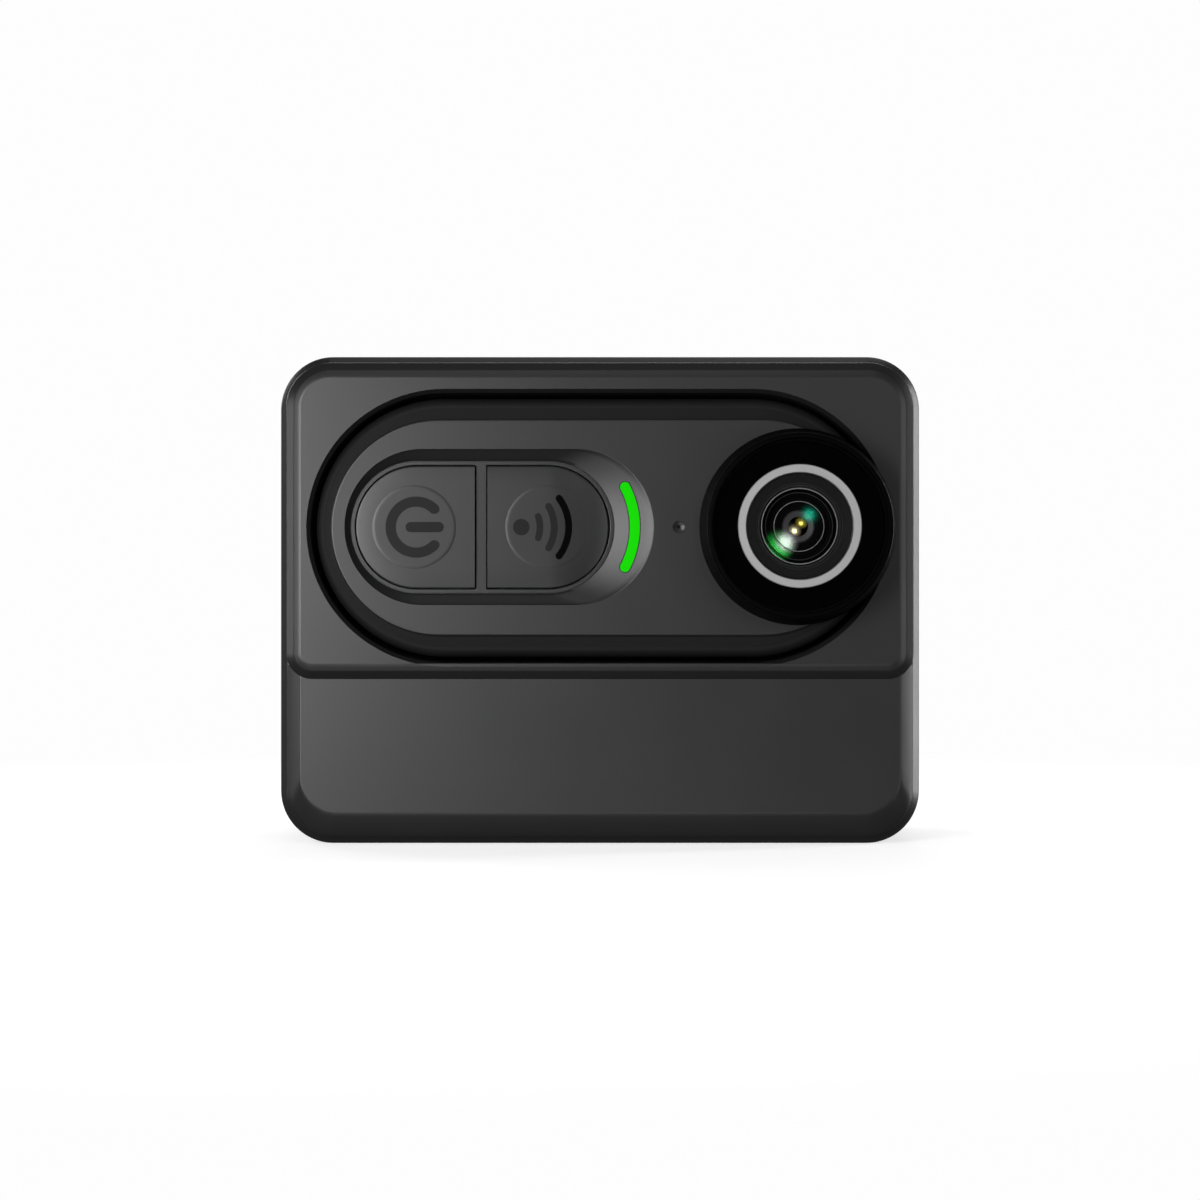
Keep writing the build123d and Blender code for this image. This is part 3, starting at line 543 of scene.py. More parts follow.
GRAPHITE = (0.0115, 0.0115, 0.0119)
MATERIALS = {
    "housing": moulded("graphite_plastic", GRAPHITE, 0.38, 0.16, 0.0016),
    "camera_shell": moulded("camera_plastic", GRAPHITE, 0.38, 0.12, 0.0012),
    "key": moulded("key_plastic", (0.0125, 0.0125, 0.0129), 0.38, 0.11, 0.0011),
    "well": moulded("well_plastic", grey(0.004), 0.6, 0.15, 0.003),
    # The rim band's darker, duller plastic is painted shade for the gap round the camera
    "camera_rim": moulded("camera_rim_painted_shade", (0.008, 0.008, 0.0085), 0.6, 0.12, 0.0016, specular=0.13),
    "ink": moulded("legend_ink", grey(0.009), 0.5, 0.1, 0.001, specular=0.16),
    "rubber": moulded("silicone", grey(0.012), 0.7, 0.2, 0.004),
    "lens_black": moulded("lens_satin_black", grey(0.0005), 0.5, 0.09, 0.0008, specular=0.03),
    "lens_satin": moulded("lens_satin_grey", grey(0.005), 0.4, 0.09, 0.0008, specular=0.18),
    "aperture_grey": moulded("aperture_satin", (0.02, 0.02, 0.022), 0.4, 0.09, 0.001),
    "lens_gloss": coated("lens_gloss_black", grey(0.0004), 0.1, specular=0.05),
    "lens_trim": brushed("trim_metal", grey(0.42), 0.5, (1, 1, 1), 0.6, 0.0012),
    "clear_glass": coated("guard_clear_glass", grey(0.002), 0.03, alpha=0.02),
    "lens_glass": coated("lens_coated_glass", (0.02, 0.02, 0.035), 0.03, alpha=0.5, coat=0.5),
    # Painted reflections: film patches put where the lens shows teal, white, green, gold and cream glints
    "front_glint_coating": glint_film("teal_and_white_glint_patches", (0.02, 0.6, 0.36), 0.17, 0.17, ((0.97, 1.11), 1.3),
                          ((0.9, 0.95, 0.93), 0.24, ((-1.27, -1.5), 1.5)), FRONT_SPLIT),
    "green_glint_coating": glint_film("green_glint_patch", (0.03, 0.9, 0.1), 0.22, 0.22, ((-2.0, -1.9), 1.8)),
    "rear_glint_coating": glint_film("gold_and_cream_glint_patches", (1.0, 0.8, 0.12), 0.18, 0.9, ((0.3, 0.4), 0.7),
                         ((1.0, 0.88, 0.5), 1.0, ((-0.35, -0.42), 0.8)), REAR_SPLIT),
    "screen_glass": coated("screen_cover_glass", (0.004, 0.004, 0.005), 0.08, coat=0.4),
    "panel": coated("display_panel", (0.006, 0.006, 0.009), 0.2),
    "status_light": glow("status_light_green", (0.001, 0.1, 0.0), (0.006, 0.6, 0.0)),
    "brass": brushed("turned_brass", (0.55, 0.36, 0.14), 0.32),
    "gold": brushed("gold_plate", (0.83, 0.56, 0.2), 0.25, depth=0.0008),
    "contact_plastic": moulded("contact_plastic", grey(0.008), 0.5, 0.12, 0.002),
    "circuit_board": board_material("solder_mask"),
    "sensor": coated("sensor_glass", (0.01, 0.014, 0.03), 0.06, coat=0.5),
    "steel": brushed("plain_steel", (0.5, 0.5, 0.51), 0.35, (1, 6, 1)),
    "screw": brushed("black_zinc", (0.05, 0.05, 0.052), 0.38),
    "battery": brushed("foil_pouch", (0.4, 0.4, 0.41), 0.45),
    "magnet": brushed("nickel_plate", (0.6, 0.6, 0.58), 0.22),
    "accent": coated("record_red", (0.45, 0.012, 0.012), 0.4),
}


def dress(piece, material):
    piece.data.materials.clear()
    piece.data.materials.append(MATERIALS[material])


def place(piece, body, material, *nodes):
    """Gives a piece its material, the body it moves with and the CAD nodes it stands for."""
    dress(piece, material)
    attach(piece, body)
    if nodes:
        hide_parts(*nodes)


# ---- Pod shell ----

def body_loop(inset):
    return framed(HOUSING[0], HOUSING[2], inset, BODY_R - inset, steps=20, count=8)


# Openings in the housing: half their length and width, how far apart they stand, and the room round the door
PORT_HALF = (5.3, 2.2)
SPEAKER_HALF = (3.7, 0.4)
SPEAKER_PITCH = 1.8
MIC_HOLE_R = 0.4
MIC_OFFSET = 1.5
DOOR_ROOM = (0.16, 0.15)
DOOR_DEPTH = 1.6


def housing_cuts():
    """The plugs that cut the openings in the housing's sides and top."""
    (x0, x1), _, (_, z1) = HOUSING
    top = (z1 - WALL - 1, z1 + 1)
    key = [(y, z) for z, y in slot_between(SIDE_Z, SIDE_Y, GAP, 14, 4)]
    port_y, port_z = around(middle(PORT[1]), PORT_HALF[0]), around(middle(PORT[2]), PORT_HALF[1])
    port = slot_between(port_y, port_z, 0, 14, 4)
    cuts = [plug("cut_record", slot_between(RECORD_X, RECORD_Y, GAP, 20, 4), top, "z"),
            plug("cut_side", key, (x0 - 1, x0 + WALL + 1), "x"),
            block("cut_door", (x1 - DOOR_DEPTH, x1 + 1), spread(DOOR[1], DOOR_ROOM[0]),
                  spread(DOOR[2], DOOR_ROOM[1]), 0.5, "x"),
            plug("cut_port", port, (x1 - 5, x1 + 1), "x")]
    for step in (-1, 1):
        hole = circle(middle(POD_MIC[0]) + MIC_OFFSET * step, middle(POD_MIC[1]), MIC_HOLE_R, 24)
        cuts.append(plug("cut_mic", hole, top, "z"))
    for step in (-1, 0, 1):
        z = around(middle(SPEAKER[2]) - 0.1 + SPEAKER_PITCH * step, SPEAKER_HALF[1])
        outline = slot_between(around(middle(SPEAKER[1]), SPEAKER_HALF[0]), z, 0, 14, 4)
        cuts.append(plug("cut_speaker", outline, (x0 - 1, x0 + WALL + 0.5), "x"))
    return cuts


def make_housing():
    (_, x1), (y0, y1), _ = HOUSING
    rim = stepped(y0, (RIM + 0.06, 0), (RIM - 0.06, 0.1), (0.06, 0.98), (0, 1.08))
    profile = [(WALL, y0)] + rim + convex(0, y1 - 0.5, 0.5, y1, 5) + [(WALL, y1)]
    housing = loft("housing_shell", [(body_loop(i), y) for i, y in profile], closed=True)
    boss = block("boss", (x1 - 3.5, x1 - WALL + 0.3), spread(DOOR[1], 1), spread(DOOR[2], 1))
    carve(housing, [boss], "UNION")
    carve(housing, housing_cuts())
    soften(housing, 0.07)
    place(housing, "pod", "housing", "main_housing")


BEZEL_Z = 16.45         # the bezel's lower edge
BEZEL_CORNER = 2.6
PANEL_SET_BACK = 0.9    # the lower panel, behind the bezel's face
BEVEL_STEEP = 47        # tilt of the lower panel's side bevel at its outside and inside, in degrees
BEVEL_SHALLOW = 42
BEVEL_ROUND = 0.35      # the round between the bevel and the panel
BEVEL_STEPS = 8


def make_bezel():
    """The cover's raised part, round the camera's well."""
    x, (y0, _), (_, z1) = COVER
    y_back = HOUSING[1][0]
    corner = BODY_R - RIM

    def loop(inset):
        return framed(x, (BEZEL_Z, z1), inset, (BEZEL_CORNER - inset, corner - inset), steps=20, count=8)

    # Outside, a chamfered band and then a shallow bead up to the face; inside, a rounded lip
    edge = stepped(y0, (0, 0.92), (0.03, 0.84), (0.09, 0.78), (0.76, 0.24), (0.82, 0.2), (0.89, 0.175),
                   (1.08, 0.115), (1.25, 0.06), (1.4, 0.02), (1.55, 0))
    lip = stepped(y0, (0, 0.6), (0.05, 0.5), (0.33, 0.08), (0.36, 0.03), (0.4, 0))
    made = Builder()
    outer = [made.ring(loop(i), y) for i, y in [(0, y_back)] + edge]
    made.skin(outer)
    hole = [made.ring(well(grow), y) for grow, y in [(0, y_back)] + lip]
    made.skin(hole)
    made.plate(outer[-1], hole[-1])
    made.plate(outer[0], hole[0])
    return made.make("front_cover_shell", 28)


def make_lower_panel():
    """The cover's lower part, bevelled at the sides, with a long slope at the bottom."""
    x, (y0, _), (z0, _) = COVER
    y_back = HOUSING[1][0]
    y_panel = y0 + PANEL_SET_BACK
    y_low = y_back - 0.35
    corner = BODY_R - RIM

    def loop(across, y):
        """The panel's outline at this depth, where the bottom slope has come up by a part of its height."""
        part = min(max((y_low - y) / (y_low - y_panel), 0), 1)
        up = 2.0 * part + 0.5 * (1 - sqrt(1 - part * part))
        low = max(corner - across * 0.6, 0.5)
        return rounded(*spread(x, -across), z0 + up, BEZEL_Z + 1.4, (low, 0.01), steps=20, count=8)

    # The bevel turns from steep to shallow, then rounds over on to the panel
    count = BEVEL_STEPS
    turns = [BEVEL_STEEP + (BEVEL_SHALLOW - BEVEL_STEEP) * k / count for k in range(count + 1)]
    turns += [BEVEL_SHALLOW * (1 - k / count) for k in range(1, count + 1)]
    round_y = BEVEL_ROUND * (1 - cos(radians(BEVEL_SHALLOW)))
    across, y = 0.0, y_back
    loops = [(loop(across, y), y)]
    for k, (before, turn) in enumerate(zip(turns, turns[1:])):
        if k < count:
            step_y = (y_back - y_panel - round_y) / count
            step = step_y / tan(radians((turn + before) / 2))
        else:
            step_y = BEVEL_ROUND * (cos(radians(turn)) - cos(radians(before)))
            step = BEVEL_ROUND * (sin(radians(before)) - sin(radians(turn)))
        across, y = across + step, y - step_y
        loops.append((loop(across, y), y))
    return loft("panel", loops)


def make_front_cover():
    cover = make_bezel()
    carve(cover, [make_lower_panel()], "UNION")
    place(cover, "pod", "housing", "front_cover")


def make_liner():
    """The camera's well, with a window for the contacts and a ring round each magnet."""
    _, (y0, y1), _ = LINER
    floor = BACK[1][1] + GAP
    made = Builder()
    outside = [made.ring(well(WELL_WALL), y) for y in (y0, y1)]
    made.skin(outside)
    inside = [made.ring(well(), y) for y in (y0, floor - 1.3)]
    inside += [made.ring(well(-i), y) for i, y in convex(0, floor - 1.25, 1.25, floor)]
    made.skin(inside)
    made.bridge(outside[0], inside[0])
    window = rounded(*around(middle(PINS[0]), 3.4), *around(PILL_Z, 1.7), 1.2)
    lip = [made.ring(window, floor), made.ring(window, floor + 0.35)]
    made.skin(lip)
    made.plate(inside[-1], lip[0])
    made.cap(lip[1])
    made.cap(outside[1])
    place(made.make("well_tray"), "pod", "well", "well_liner")
    ring = stepped(floor, (2.7, 0.02), (2.7, -0.02), (3.1, -0.02), (3.1, 0.02))
    for side, name in ((-1, "left"), (1, "right")):
        x = side * middle(span("dock_magnet_right")[0])
        place(lathe(f"well_ring_{name}", ring, x, PILL_Z, 64), "pod", "contact_plastic")


def make_rear():
    """The plate behind the screen, with a shallow panel line and its screws."""
    x, (y0, y1), z = span("rear_cover")
    profile = [(0, y0), (0, y1 - 0.3)] + convex(0, y1 - 0.3, 0.3, y1, 4)
    profile += stepped(y1, (6, 0), (6.2, -0.25), (6.6, -0.25), (6.8, 0))
    loops = [(framed(x, z, i, 3.4 - min(i, 2.8), steps=12, count=6), y) for i, y in profile]
    plate = loft("rear_plate", loops)
    screws = [span(f"rear_screw_{number}") for number in range(1, 5)]
    centres = [(middle(screw[0]), middle(screw[2])) for screw in screws]
    sink = stepped(y1, (0, -0.72), (1.5, -0.72), (1.5, 1), (0, 1))
    carve(plate, [lathe("cut_head", sink, *centre, 40) for centre in centres])
    place(plate, "pod", "housing", "rear_cover")
    for number, centre in enumerate(centres, start=1):
        make_screw(number, centre, y1)


def make_screw(number, centre, y):
    """A screw head sunk just below this depth, with a six-lobed recess."""
    cx, cz = centre
    r, lobes, count = 1.35, 6, 60
    crown = [(r - i, depth) for i, depth in convex(0, y - 0.35, 0.4, y - 0.02, 5)]
    head = lathe(f"screw_head_{number}", [(0, y - 0.7), (r, y - 0.7)] + crown + [(0, y - 0.02)], cx, cz, 40)
    star = []
    for a in [2 * pi * k / count for k in range(count)]:
        reach = 0.62 + 0.14 * cos(lobes * a)
        star.append((cx + reach * cos(a), cz + reach * sin(a)))
    recess = loft("cut_star", [(star, y - 0.45), (star, y + 0.5)])
    carve(head, [recess])
    place(head, "pod", "screw", f"rear_screw_{number}")


def make_insert():
    """The tripod insert, with a quarter-inch thread cut in its bore."""
    x, y, (z0, z1) = INSERT
    cx, cy, r = middle(x), middle(y), (x[1] - x[0]) / 2
    pitch, crest, root, depth = 1.27, 2.6, 3.12, 6.0
    steps = 48
    turns = [2 * pi * k / steps for k in range(steps)]

    def turn(radius, z):
        return [(cx + radius * cos(a), cy + radius * sin(a), z) for a in turns]

    def thread(z):
        """A section of the bore, deeper where the helix passes, fading out at the bottom."""
        points = []
        for k, a in enumerate(turns):
            phase = (z / pitch - k / steps) % 1
            height = 1 - abs(2 * phase - 1)
            fade = min(1, max(0, (depth - 0.6 - z) / 0.6))
            radius = crest + (root - crest) * min(1, height * 1.3) * fade
            points.append((cx + radius * cos(a), cy + radius * sin(a), z))
        return points

    body = ((r, z1), (r, z0 + 0.25), (r - 0.25, z0), (root + 0.45, z0), (root + 0.05, z0 + 0.4))
    outside = [turn(radius, z) for radius, z in body]
    mouth, sections = 0.41, 66
    inside = [thread(z0 + mouth + (depth - mouth) * k / sections) for k in range(sections + 1)]
    place(solid("threaded_insert", outside + inside, 60), "pod", "brass", "tripod_insert")


# ---- Pod controls ----

def key_rings(a, b, top, inward, dish):
    """A key as (outline, place) pairs: its flange inside the wall, its side and the dish in its top.
    inward is the sign of the way into the pod, and dish has the dish's (inset, depth) pairs."""
    steps = [(-0.3, top + inward * 2.3), (-0.3, top + inward * 1.85), (0, top + inward * 1.85)]
    steps += convex(0, top + inward * 0.3, 0.3, top, 5)
    steps += [(inset, top + inward * depth) for inset, depth in dish]
    return [(slot_between(a, b, -inset, 24, 8), at) for inset, at in steps]


def make_record_button():
    top = RECORD[2][1]
    rings = key_rings(RECORD_X, RECORD_Y, top, -1, [(0.9, 0.02), (1.6, 0.09), (2.1, 0.12)])
    button = solid("record_cap", [[(x, y, z) for x, y in loop] for loop, z in rings])
    place(button, "record_button", "key", "record_button")
    dot = [[(x, y, z) for x, y in circle(middle(RECORD_X), middle(RECORD_Y), r, 40)]
           for r, z in ((0.95, top - 0.3), (0.95, top - 0.1), (0.85, top - 0.06))]
    place(solid("record_dot", dot), "record_button", "accent")


def make_side_key():
    rings = key_rings(SIDE_Z, SIDE_Y, SIDE_KEY[0][0], 1, [(0.9, 0.02), (1.5, 0.1), (1.8, 0.12)])
    key = solid("side_key_cap", [[(x, y, z) for z, y in loop] for loop, x in rings])
    place(key, "side_key", "key", "side_key")


def make_door():
    """The port door: a flush flap with a round hinge edge and a nail groove."""
    (x0, x1), (y0, y1), (z0, z1) = DOOR
    r = (x1 - x0) / 2
    xc, yc, zc = middle(DOOR[0]), middle(DOOR[1]), middle(DOOR[2])
    hinge = arc(xc, y1 - r, r, 0, 180, 16)
    free = arc(x0 + 0.3, y0 + 0.3, 0.3, 180, 270, 5) + arc(x1 - 0.3, y0 + 0.3, 0.3, 270, 360, 5)
    rings = []
    ends = stepped(z0, (0.2, 0), (0.06, 0.06), (0, 0.2)) + stepped(z1, (0, -0.2), (0.06, -0.06), (0.2, 0))
    for inset, z in ends:
        scale_x, scale_y = 1 - inset / r, 1 - 2 * inset / (y1 - y0)
        rings.append([(xc + (x - xc) * scale_x, yc + (y - yc) * scale_y, z) for x, y in hinge + free])
    door = solid("door_flap", rings)
    carve(door, [block("cut_nail", (x1 - 0.5, x1 + 1), (y0 - 1, y0 + 0.7), around(zc, 1.8), 0.4, "x"),
                 plug("cut_pin", circle(xc, y1 - r, 0.4, 24), (z0 - 1, z1 + 1), "z")])
    place(door, "usb_door", "housing", "usb_door")


def make_door_seal():
    """The lip of rubber behind the port door."""
    (x0, x1), y, z = SEAL
    profile = ((0, x1), (0, x0 + 0.15), (-0.1, x0), (-0.65, x0), (-0.75, x0 + 0.15), (-0.75, x1))
    rings = [[(x, b, c) for b, c in slot_between(y, z, grow, 20, 6)] for grow, x in profile]
    place(solid("door_seal_lip", rings, closed=True), "usb_door", "rubber", "usb_door_seal")


# ---- Screen ----

def make_screen():
    """The screen's case, round along its hinge edge."""
    (x0, x1), (y0, y1), (z0, _) = SCREEN
    r = (y1 - y0) / 2
    edge = 0.7
    steps = 26
    loops = []
    for k in range(steps + 1):
        turn = -pi / 2 + pi * k / steps
        y = HINGE_Y + r * sin(turn)
        top = HINGE_Z + r * cos(turn)
        near = min(y - y0, y1 - y)
        inset = 0 if near >= edge else edge - sqrt(edge * edge - (edge - near) ** 2)
        outline = rounded(x0 + inset, x1 - inset, z0 + inset, top, BODY_R - inset, steps=18, count=10)
        loops.append((outline, y))
    shell = loft("screen_case", loops, 40)
    x, (front, _), z = GLASS
    notch = KNUCKLE[0][1] + 0.5
    pin = circle(HINGE_Y, HINGE_Z, 0.94, 32)
    carve(shell, [block("cut_notch", (-notch, notch), (y0 - 1, y1 + 1), (HINGE_Z - 3.4, HINGE_Z + 6), 0.8),
                  block("cut_glass", spread(x, 0.05), (front - 0.05, y1 + 1), spread(z, 0.05), 3.6),
                  plug("cut_pin", pin, spread(PIN[0], 0.2), "x")])
    soften(shell, 0.1, 2, 50)
    place(shell, "screen", "housing", "screen_shell")


def make_screen_glass():
    """The cover glass, and the display's active area just proud of it."""
    x, (y0, y1), z = GLASS
    profile = [(0.1, y0), (0, y0 + 0.1), (0, y1 - 0.2)] + convex(0, y1 - 0.2, 0.35, y1, 6)
    glass = loft("touch_glass", [(framed(x, z, i, 3.55 - i, steps=16, count=8), y) for i, y in profile])
    place(glass, "screen", "screen_glass", "screen_glass")
    x, _, z = span("screen_panel")
    active = loft("active_area", [(framed(x, z, 1, 1.2), y) for y in (y1 - 0.02, y1 + 0.004)])
    place(active, "screen", "panel")


def make_knuckle():
    """The pod's half of the hinge: a barrel with two shallow joints, carried on a neck."""
    (x0, x1), _, (z0, z1) = KNUCKLE
    r = (z1 - z0) / 2
    y_root = HOUSING[1][1] - 0.05
    above, below = 1.0, 2.2         # the neck's two sides, from the hinge's centre
    start, end = degrees(asin(below / r)) - 180, 180 - degrees(asin(above / r))

    def section(x, shrink):
        barrel = arc(HINGE_Y, HINGE_Z, r - shrink, start, end, 60)
        outline = [(y_root, HINGE_Z - below + shrink), *barrel, (y_root, HINGE_Z + above - shrink)]
        return [(x, y, z) for y, z in outline]

    third = (x1 - x0) / 3
    stations = [(x0, 0.25), (x0 + 0.08, 0.08), (x0 + 0.25, 0)]      # places along it, and how far it shrinks
    for joint in (x0 + third, x1 - third):
        stations += [(joint - 0.18, 0), (joint - 0.1, 0.12), (joint + 0.1, 0.12), (joint + 0.18, 0)]
    stations += [(x1 - 0.25, 0), (x1 - 0.08, 0.08), (x1, 0.25)]
    barrel = solid("hinge_barrel", [section(x, shrink) for x, shrink in stations])
    place(barrel, "pod", "housing", "hinge_knuckle")


# ---- Camera ----

def dish_loop(t):
    """The dished key area's outline, from the pad at 0 to the face at 1."""
    left = PAD_LEFT + (DISH_LEFT - PAD_LEFT) * t
    right = PAD_RIGHT + (DISH_RIGHT - PAD_RIGHT) * t
    return slot(left, right, KEY_Z, PAD_R + (DISH_R - PAD_R) * t)


def face_loop(inset):
    return slot(FACE_LEFT, FACE_RIGHT, PILL_Z, FACE_R - inset)


def make_camera_rim():
    """The band round the camera's face, darker in colour as painted shade of the gap it sits in."""
    side = [(0.12, Y_SEAM), (0, Y_SEAM - 0.12), (0, Y_LEDGE + 1.25)]
    side += convex(0, Y_LEDGE + 1.2, 0.86, Y_LEDGE + 0.16, 8) + stepped(Y_LEDGE, (0.9, 0.17), (0.98, 0.17))
    ledge = stepped(Y_LEDGE, (-0.3, 0.02), (0, 0), (0.15, 0)) + [(0.15, Y_INSIDE + 0.02)]
    loops = [(pill(i), y) for i, y in side] + [(face_loop(i), y) for i, y in ledge]
    loops += [(pill(PILL_WALL), y) for y in (Y_INSIDE + 0.02, Y_SEAM)]
    place(loft("camera_rim", loops, 38, closed=True), "camera", "camera_rim")


def make_camera_front():
    """The camera's face: the keys' dish and openings, the microphone's bowl and the lens's hole."""
    made = Builder()
    outside = [made.ring(face_loop(0), y) for y in (Y_INSIDE, Y_LEDGE, Y_FACE + 0.22)]
    outside += [made.ring(face_loop(i), y) for i, y in convex(0, Y_FACE + 0.2, 0.22, Y_FACE, 6)]
    made.skin(outside)

    # The dish: a lip rounded off the face, then an even ramp down to a fine groove round the pad
    edge, y_edge, steps = 0.94, Y_FACE + 0.08, 6
    lip = [made.ring(dish_loop(t), y) for t, y in
           stepped(Y_FACE, (1.02, 0), (1.0, 0.01), (0.97, 0.04)) + [(edge, y_edge)]]
    lip += [made.ring(dish_loop(edge * (1 - k / steps)), y_edge + (Y_DISH - y_edge) * k / steps)
            for k in range(1, steps + 1)]
    made.skin(lip)
    groove = stepped(Y_DISH, (0, 0), (0.03, 0.05), (0.07, 0.05), (0.1, 0))
    rim = [made.ring(slot(PAD_LEFT, PAD_RIGHT, KEY_Z, PAD_R - i), y) for i, y in groove]
    made.skin(rim)

    bowl = ((MIC_R + 0.03, 0), (MIC_R, 0.03), (0.5, 0.055), (0.3, 0.108), (0.13, 0.153), (0.11, 0.17),
            (0.11, Y_INSIDE - Y_FACE))
    mic = [made.ring(circle(MIC_X, KEY_Z, r, 40), Y_FACE + depth) for r, depth in bowl]
    made.skin(mic)
    lens = [made.ring(circle(LENS_X, LENS_Z, 5.25, 96), y) for y in (Y_FACE, Y_INSIDE)]
    made.skin(lens)
    made.plate(outside[-1], lip[0], mic[0], lens[0])

    openings = []
    wall = stepped(Y_DISH, (0.06, 0), (0.015, 0.015), (0, 0.06)) + [(0, Y_INSIDE)]
    for side, cut in ((-1, CUT_LEFT + GAP), (1, CUT_RIGHT - GAP)):
        rings = [made.ring(key_half(side, OPENING_R + grow, cut - side * grow), y) for grow, y in wall]
        made.skin(rings)
        openings.append(rings)
    made.plate(rim[-1], openings[0][0], openings[1][0])
    made.plate(outside[0], openings[0][-1], openings[1][-1], mic[-1], lens[1])
    place(made.make("camera_face", 38), "camera", "camera_shell", "camera_front")


def make_camera_rear():
    """The camera's back, with a fine groove and a pocket for the contacts."""
    y_back = BACK[1][1]
    x, (y_pocket, _), z = PLATE
    window = framed(x, z, -0.05, 0.9, steps=8, count=4)
    side = [(0.12, Y_SEAM), (0, Y_SEAM + 0.12), (0, y_back - 1.25)] + convex(0, y_back - 1.2, 1.2, y_back, 10)
    made = Builder()
    outside = [made.ring(pill(i), y) for i, y in side]
    made.skin(outside)
    pocket = [made.ring(window, y) for y in (y_back, y_pocket)]
    made.skin(pocket)
    made.cap(pocket[1])
    line = stepped(y_back, (3.2, 0), (3.25, -0.12), (3.45, -0.12), (3.5, 0))
    groove = [made.ring(pill(i), y) for i, y in line]
    made.skin(groove)
    made.plate(outside[-1], groove[0])
    made.plate(groove[-1], pocket[0])
    inside = [made.ring(pill(PILL_WALL), y) for y in (Y_SEAM, y_back - 1.5)]
    made.skin(inside)
    made.bridge(outside[0], inside[0])
    made.cap(inside[1])
    place(made.make("camera_back", 38), "camera", "camera_shell", "camera_rear")


def make_contact_plate():
    """The plate in the pocket, and its three gold pads."""
    x, (y_pocket, _), z = PLATE
    y_back = BACK[1][1]
    profile = ((0, y_pocket), (0, y_back - 0.14), (0.08, y_back - 0.06))
    plate = loft("contact_window", [(framed(x, z, i, 0.9 - i, steps=8, count=4), y) for i, y in profile])
    place(plate, "camera", "contact_plastic", "contact_plate")
    pad = stepped(y_back, (0, -0.3), (0.75, -0.3), (0.75, -0.06), (0.68, -0.02), (0, -0.02))
    for number, x in enumerate(PIN_X, start=1):
        place(lathe(f"contact_pad_{number}", pad, x, PILL_Z, 40), "camera", "gold")


def make_pins():
    """The sprung contacts, with domed tips."""
    y0, y1 = PINS[1]
    r, dome = 0.4, 0.3
    tip = [(r * cos(a), y0 + dome - dome * sin(a)) for a in [pi / 2 * k / 8 for k in range(1, 8)]]
    profile = [(r, y1), (r, y0 + dome)] + tip + [(0.001, y0)]
    made = Builder()
    for x in PIN_X:
        rings = [made.ring(circle(x, PILL_Z, radius, 28), y) for radius, y in profile]
        made.skin(rings)
        made.cap(rings[0])
        made.cap(rings[-1])
    place(made.make("sprung_pins"), "contact_pins", "gold", "contact_pins")


# Centre of the round end; how far the edge rolls off and over what width; how far the round end bows away
KEY_SHAPES = {-1: (PAD_LEFT, 0.07, 2.2, 0.0), 1: (PAD_RIGHT, 0.16, 2.2, 0.7)}


def on_key(side, loop, lift=0.0):
    """A loop of (x, z) laid on a key's surface: flat in the middle, rolling off round the edge."""
    centre, rise, roll, bow = KEY_SHAPES[side]
    points = []
    for x, z in loop:
        beyond = max(side * (x - centre), 0)
        inset = max(KEY_R - hypot(beyond, z - KEY_Z), 0)
        y = KEY_TOP_Y + rise * (1 - min(inset / roll, 1)) ** 2 + bow * (beyond / KEY_R) ** 2
        points.append((x, y - lift, z))
    return points


def make_key(side, cut, x_disc, name):
    """A key's cap and the raised disc on it."""
    body = f"{name}_key"
    insets = (0.08, 0.2, 0.35, 0.55, 0.77, 1.0, 1.28, 1.54, 1.8, 2.02, 2.2, 2.7, 3.3, 3.9, 4.5, 5.1, 5.6)
    foot = [(x, POWER[1][1] - 0.3, z) for x, z in key_half(side, KEY_R, cut)]
    cap = [foot] + [on_key(side, key_half(side, KEY_R - inset, cut), lift)
                    for inset, lift in [(0, -0.08), (0.03, -0.02)] + [(inset, 0) for inset in insets]]
    place(solid(f"{name}_cap", cap, 45), body, "key", body)

    proud = 0.015
    foot = [(x, Y_DISH + 0.1, z) for x, z in circle(x_disc, KEY_Z, DISC_R, 96)]
    edge = [(DISC_R, -0.02), (DISC_R - 0.01, 0.01), (DISC_R - 0.03, proud)]
    inner = [(DISC_R * k / 12, proud) for k in range(11, 0, -1)]
    disc = [foot] + [on_key(side, circle(x_disc, KEY_Z, r, 96), lift) for r, lift in edge + inner]
    place(solid(f"{name}_disc", disc), body, "key")


INLAY = 0.2             # how deep the symbols go, and how far they stand out
PROUD = 0.027


def bar(name, outline, side, body):
    """A symbol's bar, inlaid in a key and just proud of its disc."""
    place(solid(name, [on_key(side, outline, lift) for lift in (-INLAY, PROUD)]), body, "ink")


def curved_bar(name, cx, r, start, end, width, side, body, material="ink", steps=36, ends=8):
    """A symbol's curved bar with round ends, laid on a key section by section."""
    half = width / 2
    tips = [(half * (1 - cos(pi / 2 * k / ends)), half * sin(pi / 2 * k / ends)) for k in range(1, ends + 1)]
    sections = [(radians(start) + (reach - half) / r, h) for reach, h in tips]
    sections += [(radians(start + (end - start) * k / steps), half) for k in range(1, steps)]
    sections += [(radians(end) + (half - reach) / r, h) for reach, h in reversed(tips)]
    rings = []
    for angle, h in sections:
        across = [(cx + (r + step) * cos(angle), KEY_Z + (r + step) * sin(angle)) for step in (h, 0, -h)]
        rings.append(on_key(side, across, PROUD) + on_key(side, across[::-1], -INLAY))
    place(solid(name, rings, 40), body, material)


def arc_bar(cx, cz, r, start, end, width, steps=40, ends=10):
    """The outline of a curved bar with round ends."""
    half = width / 2
    outer = arc(cx, cz, r + half, start, end, steps)
    inner = arc(cx, cz, r - half, end, start, steps)

    def tip(angle, turn):
        a = radians(angle)
        centre = (cx + r * cos(a), cz + r * sin(a))
        return arc(*centre, half, angle + turn, angle + turn + 180, ends)[1:-1]

    return outer + tip(end, 0) + inner + tip(start, 180)


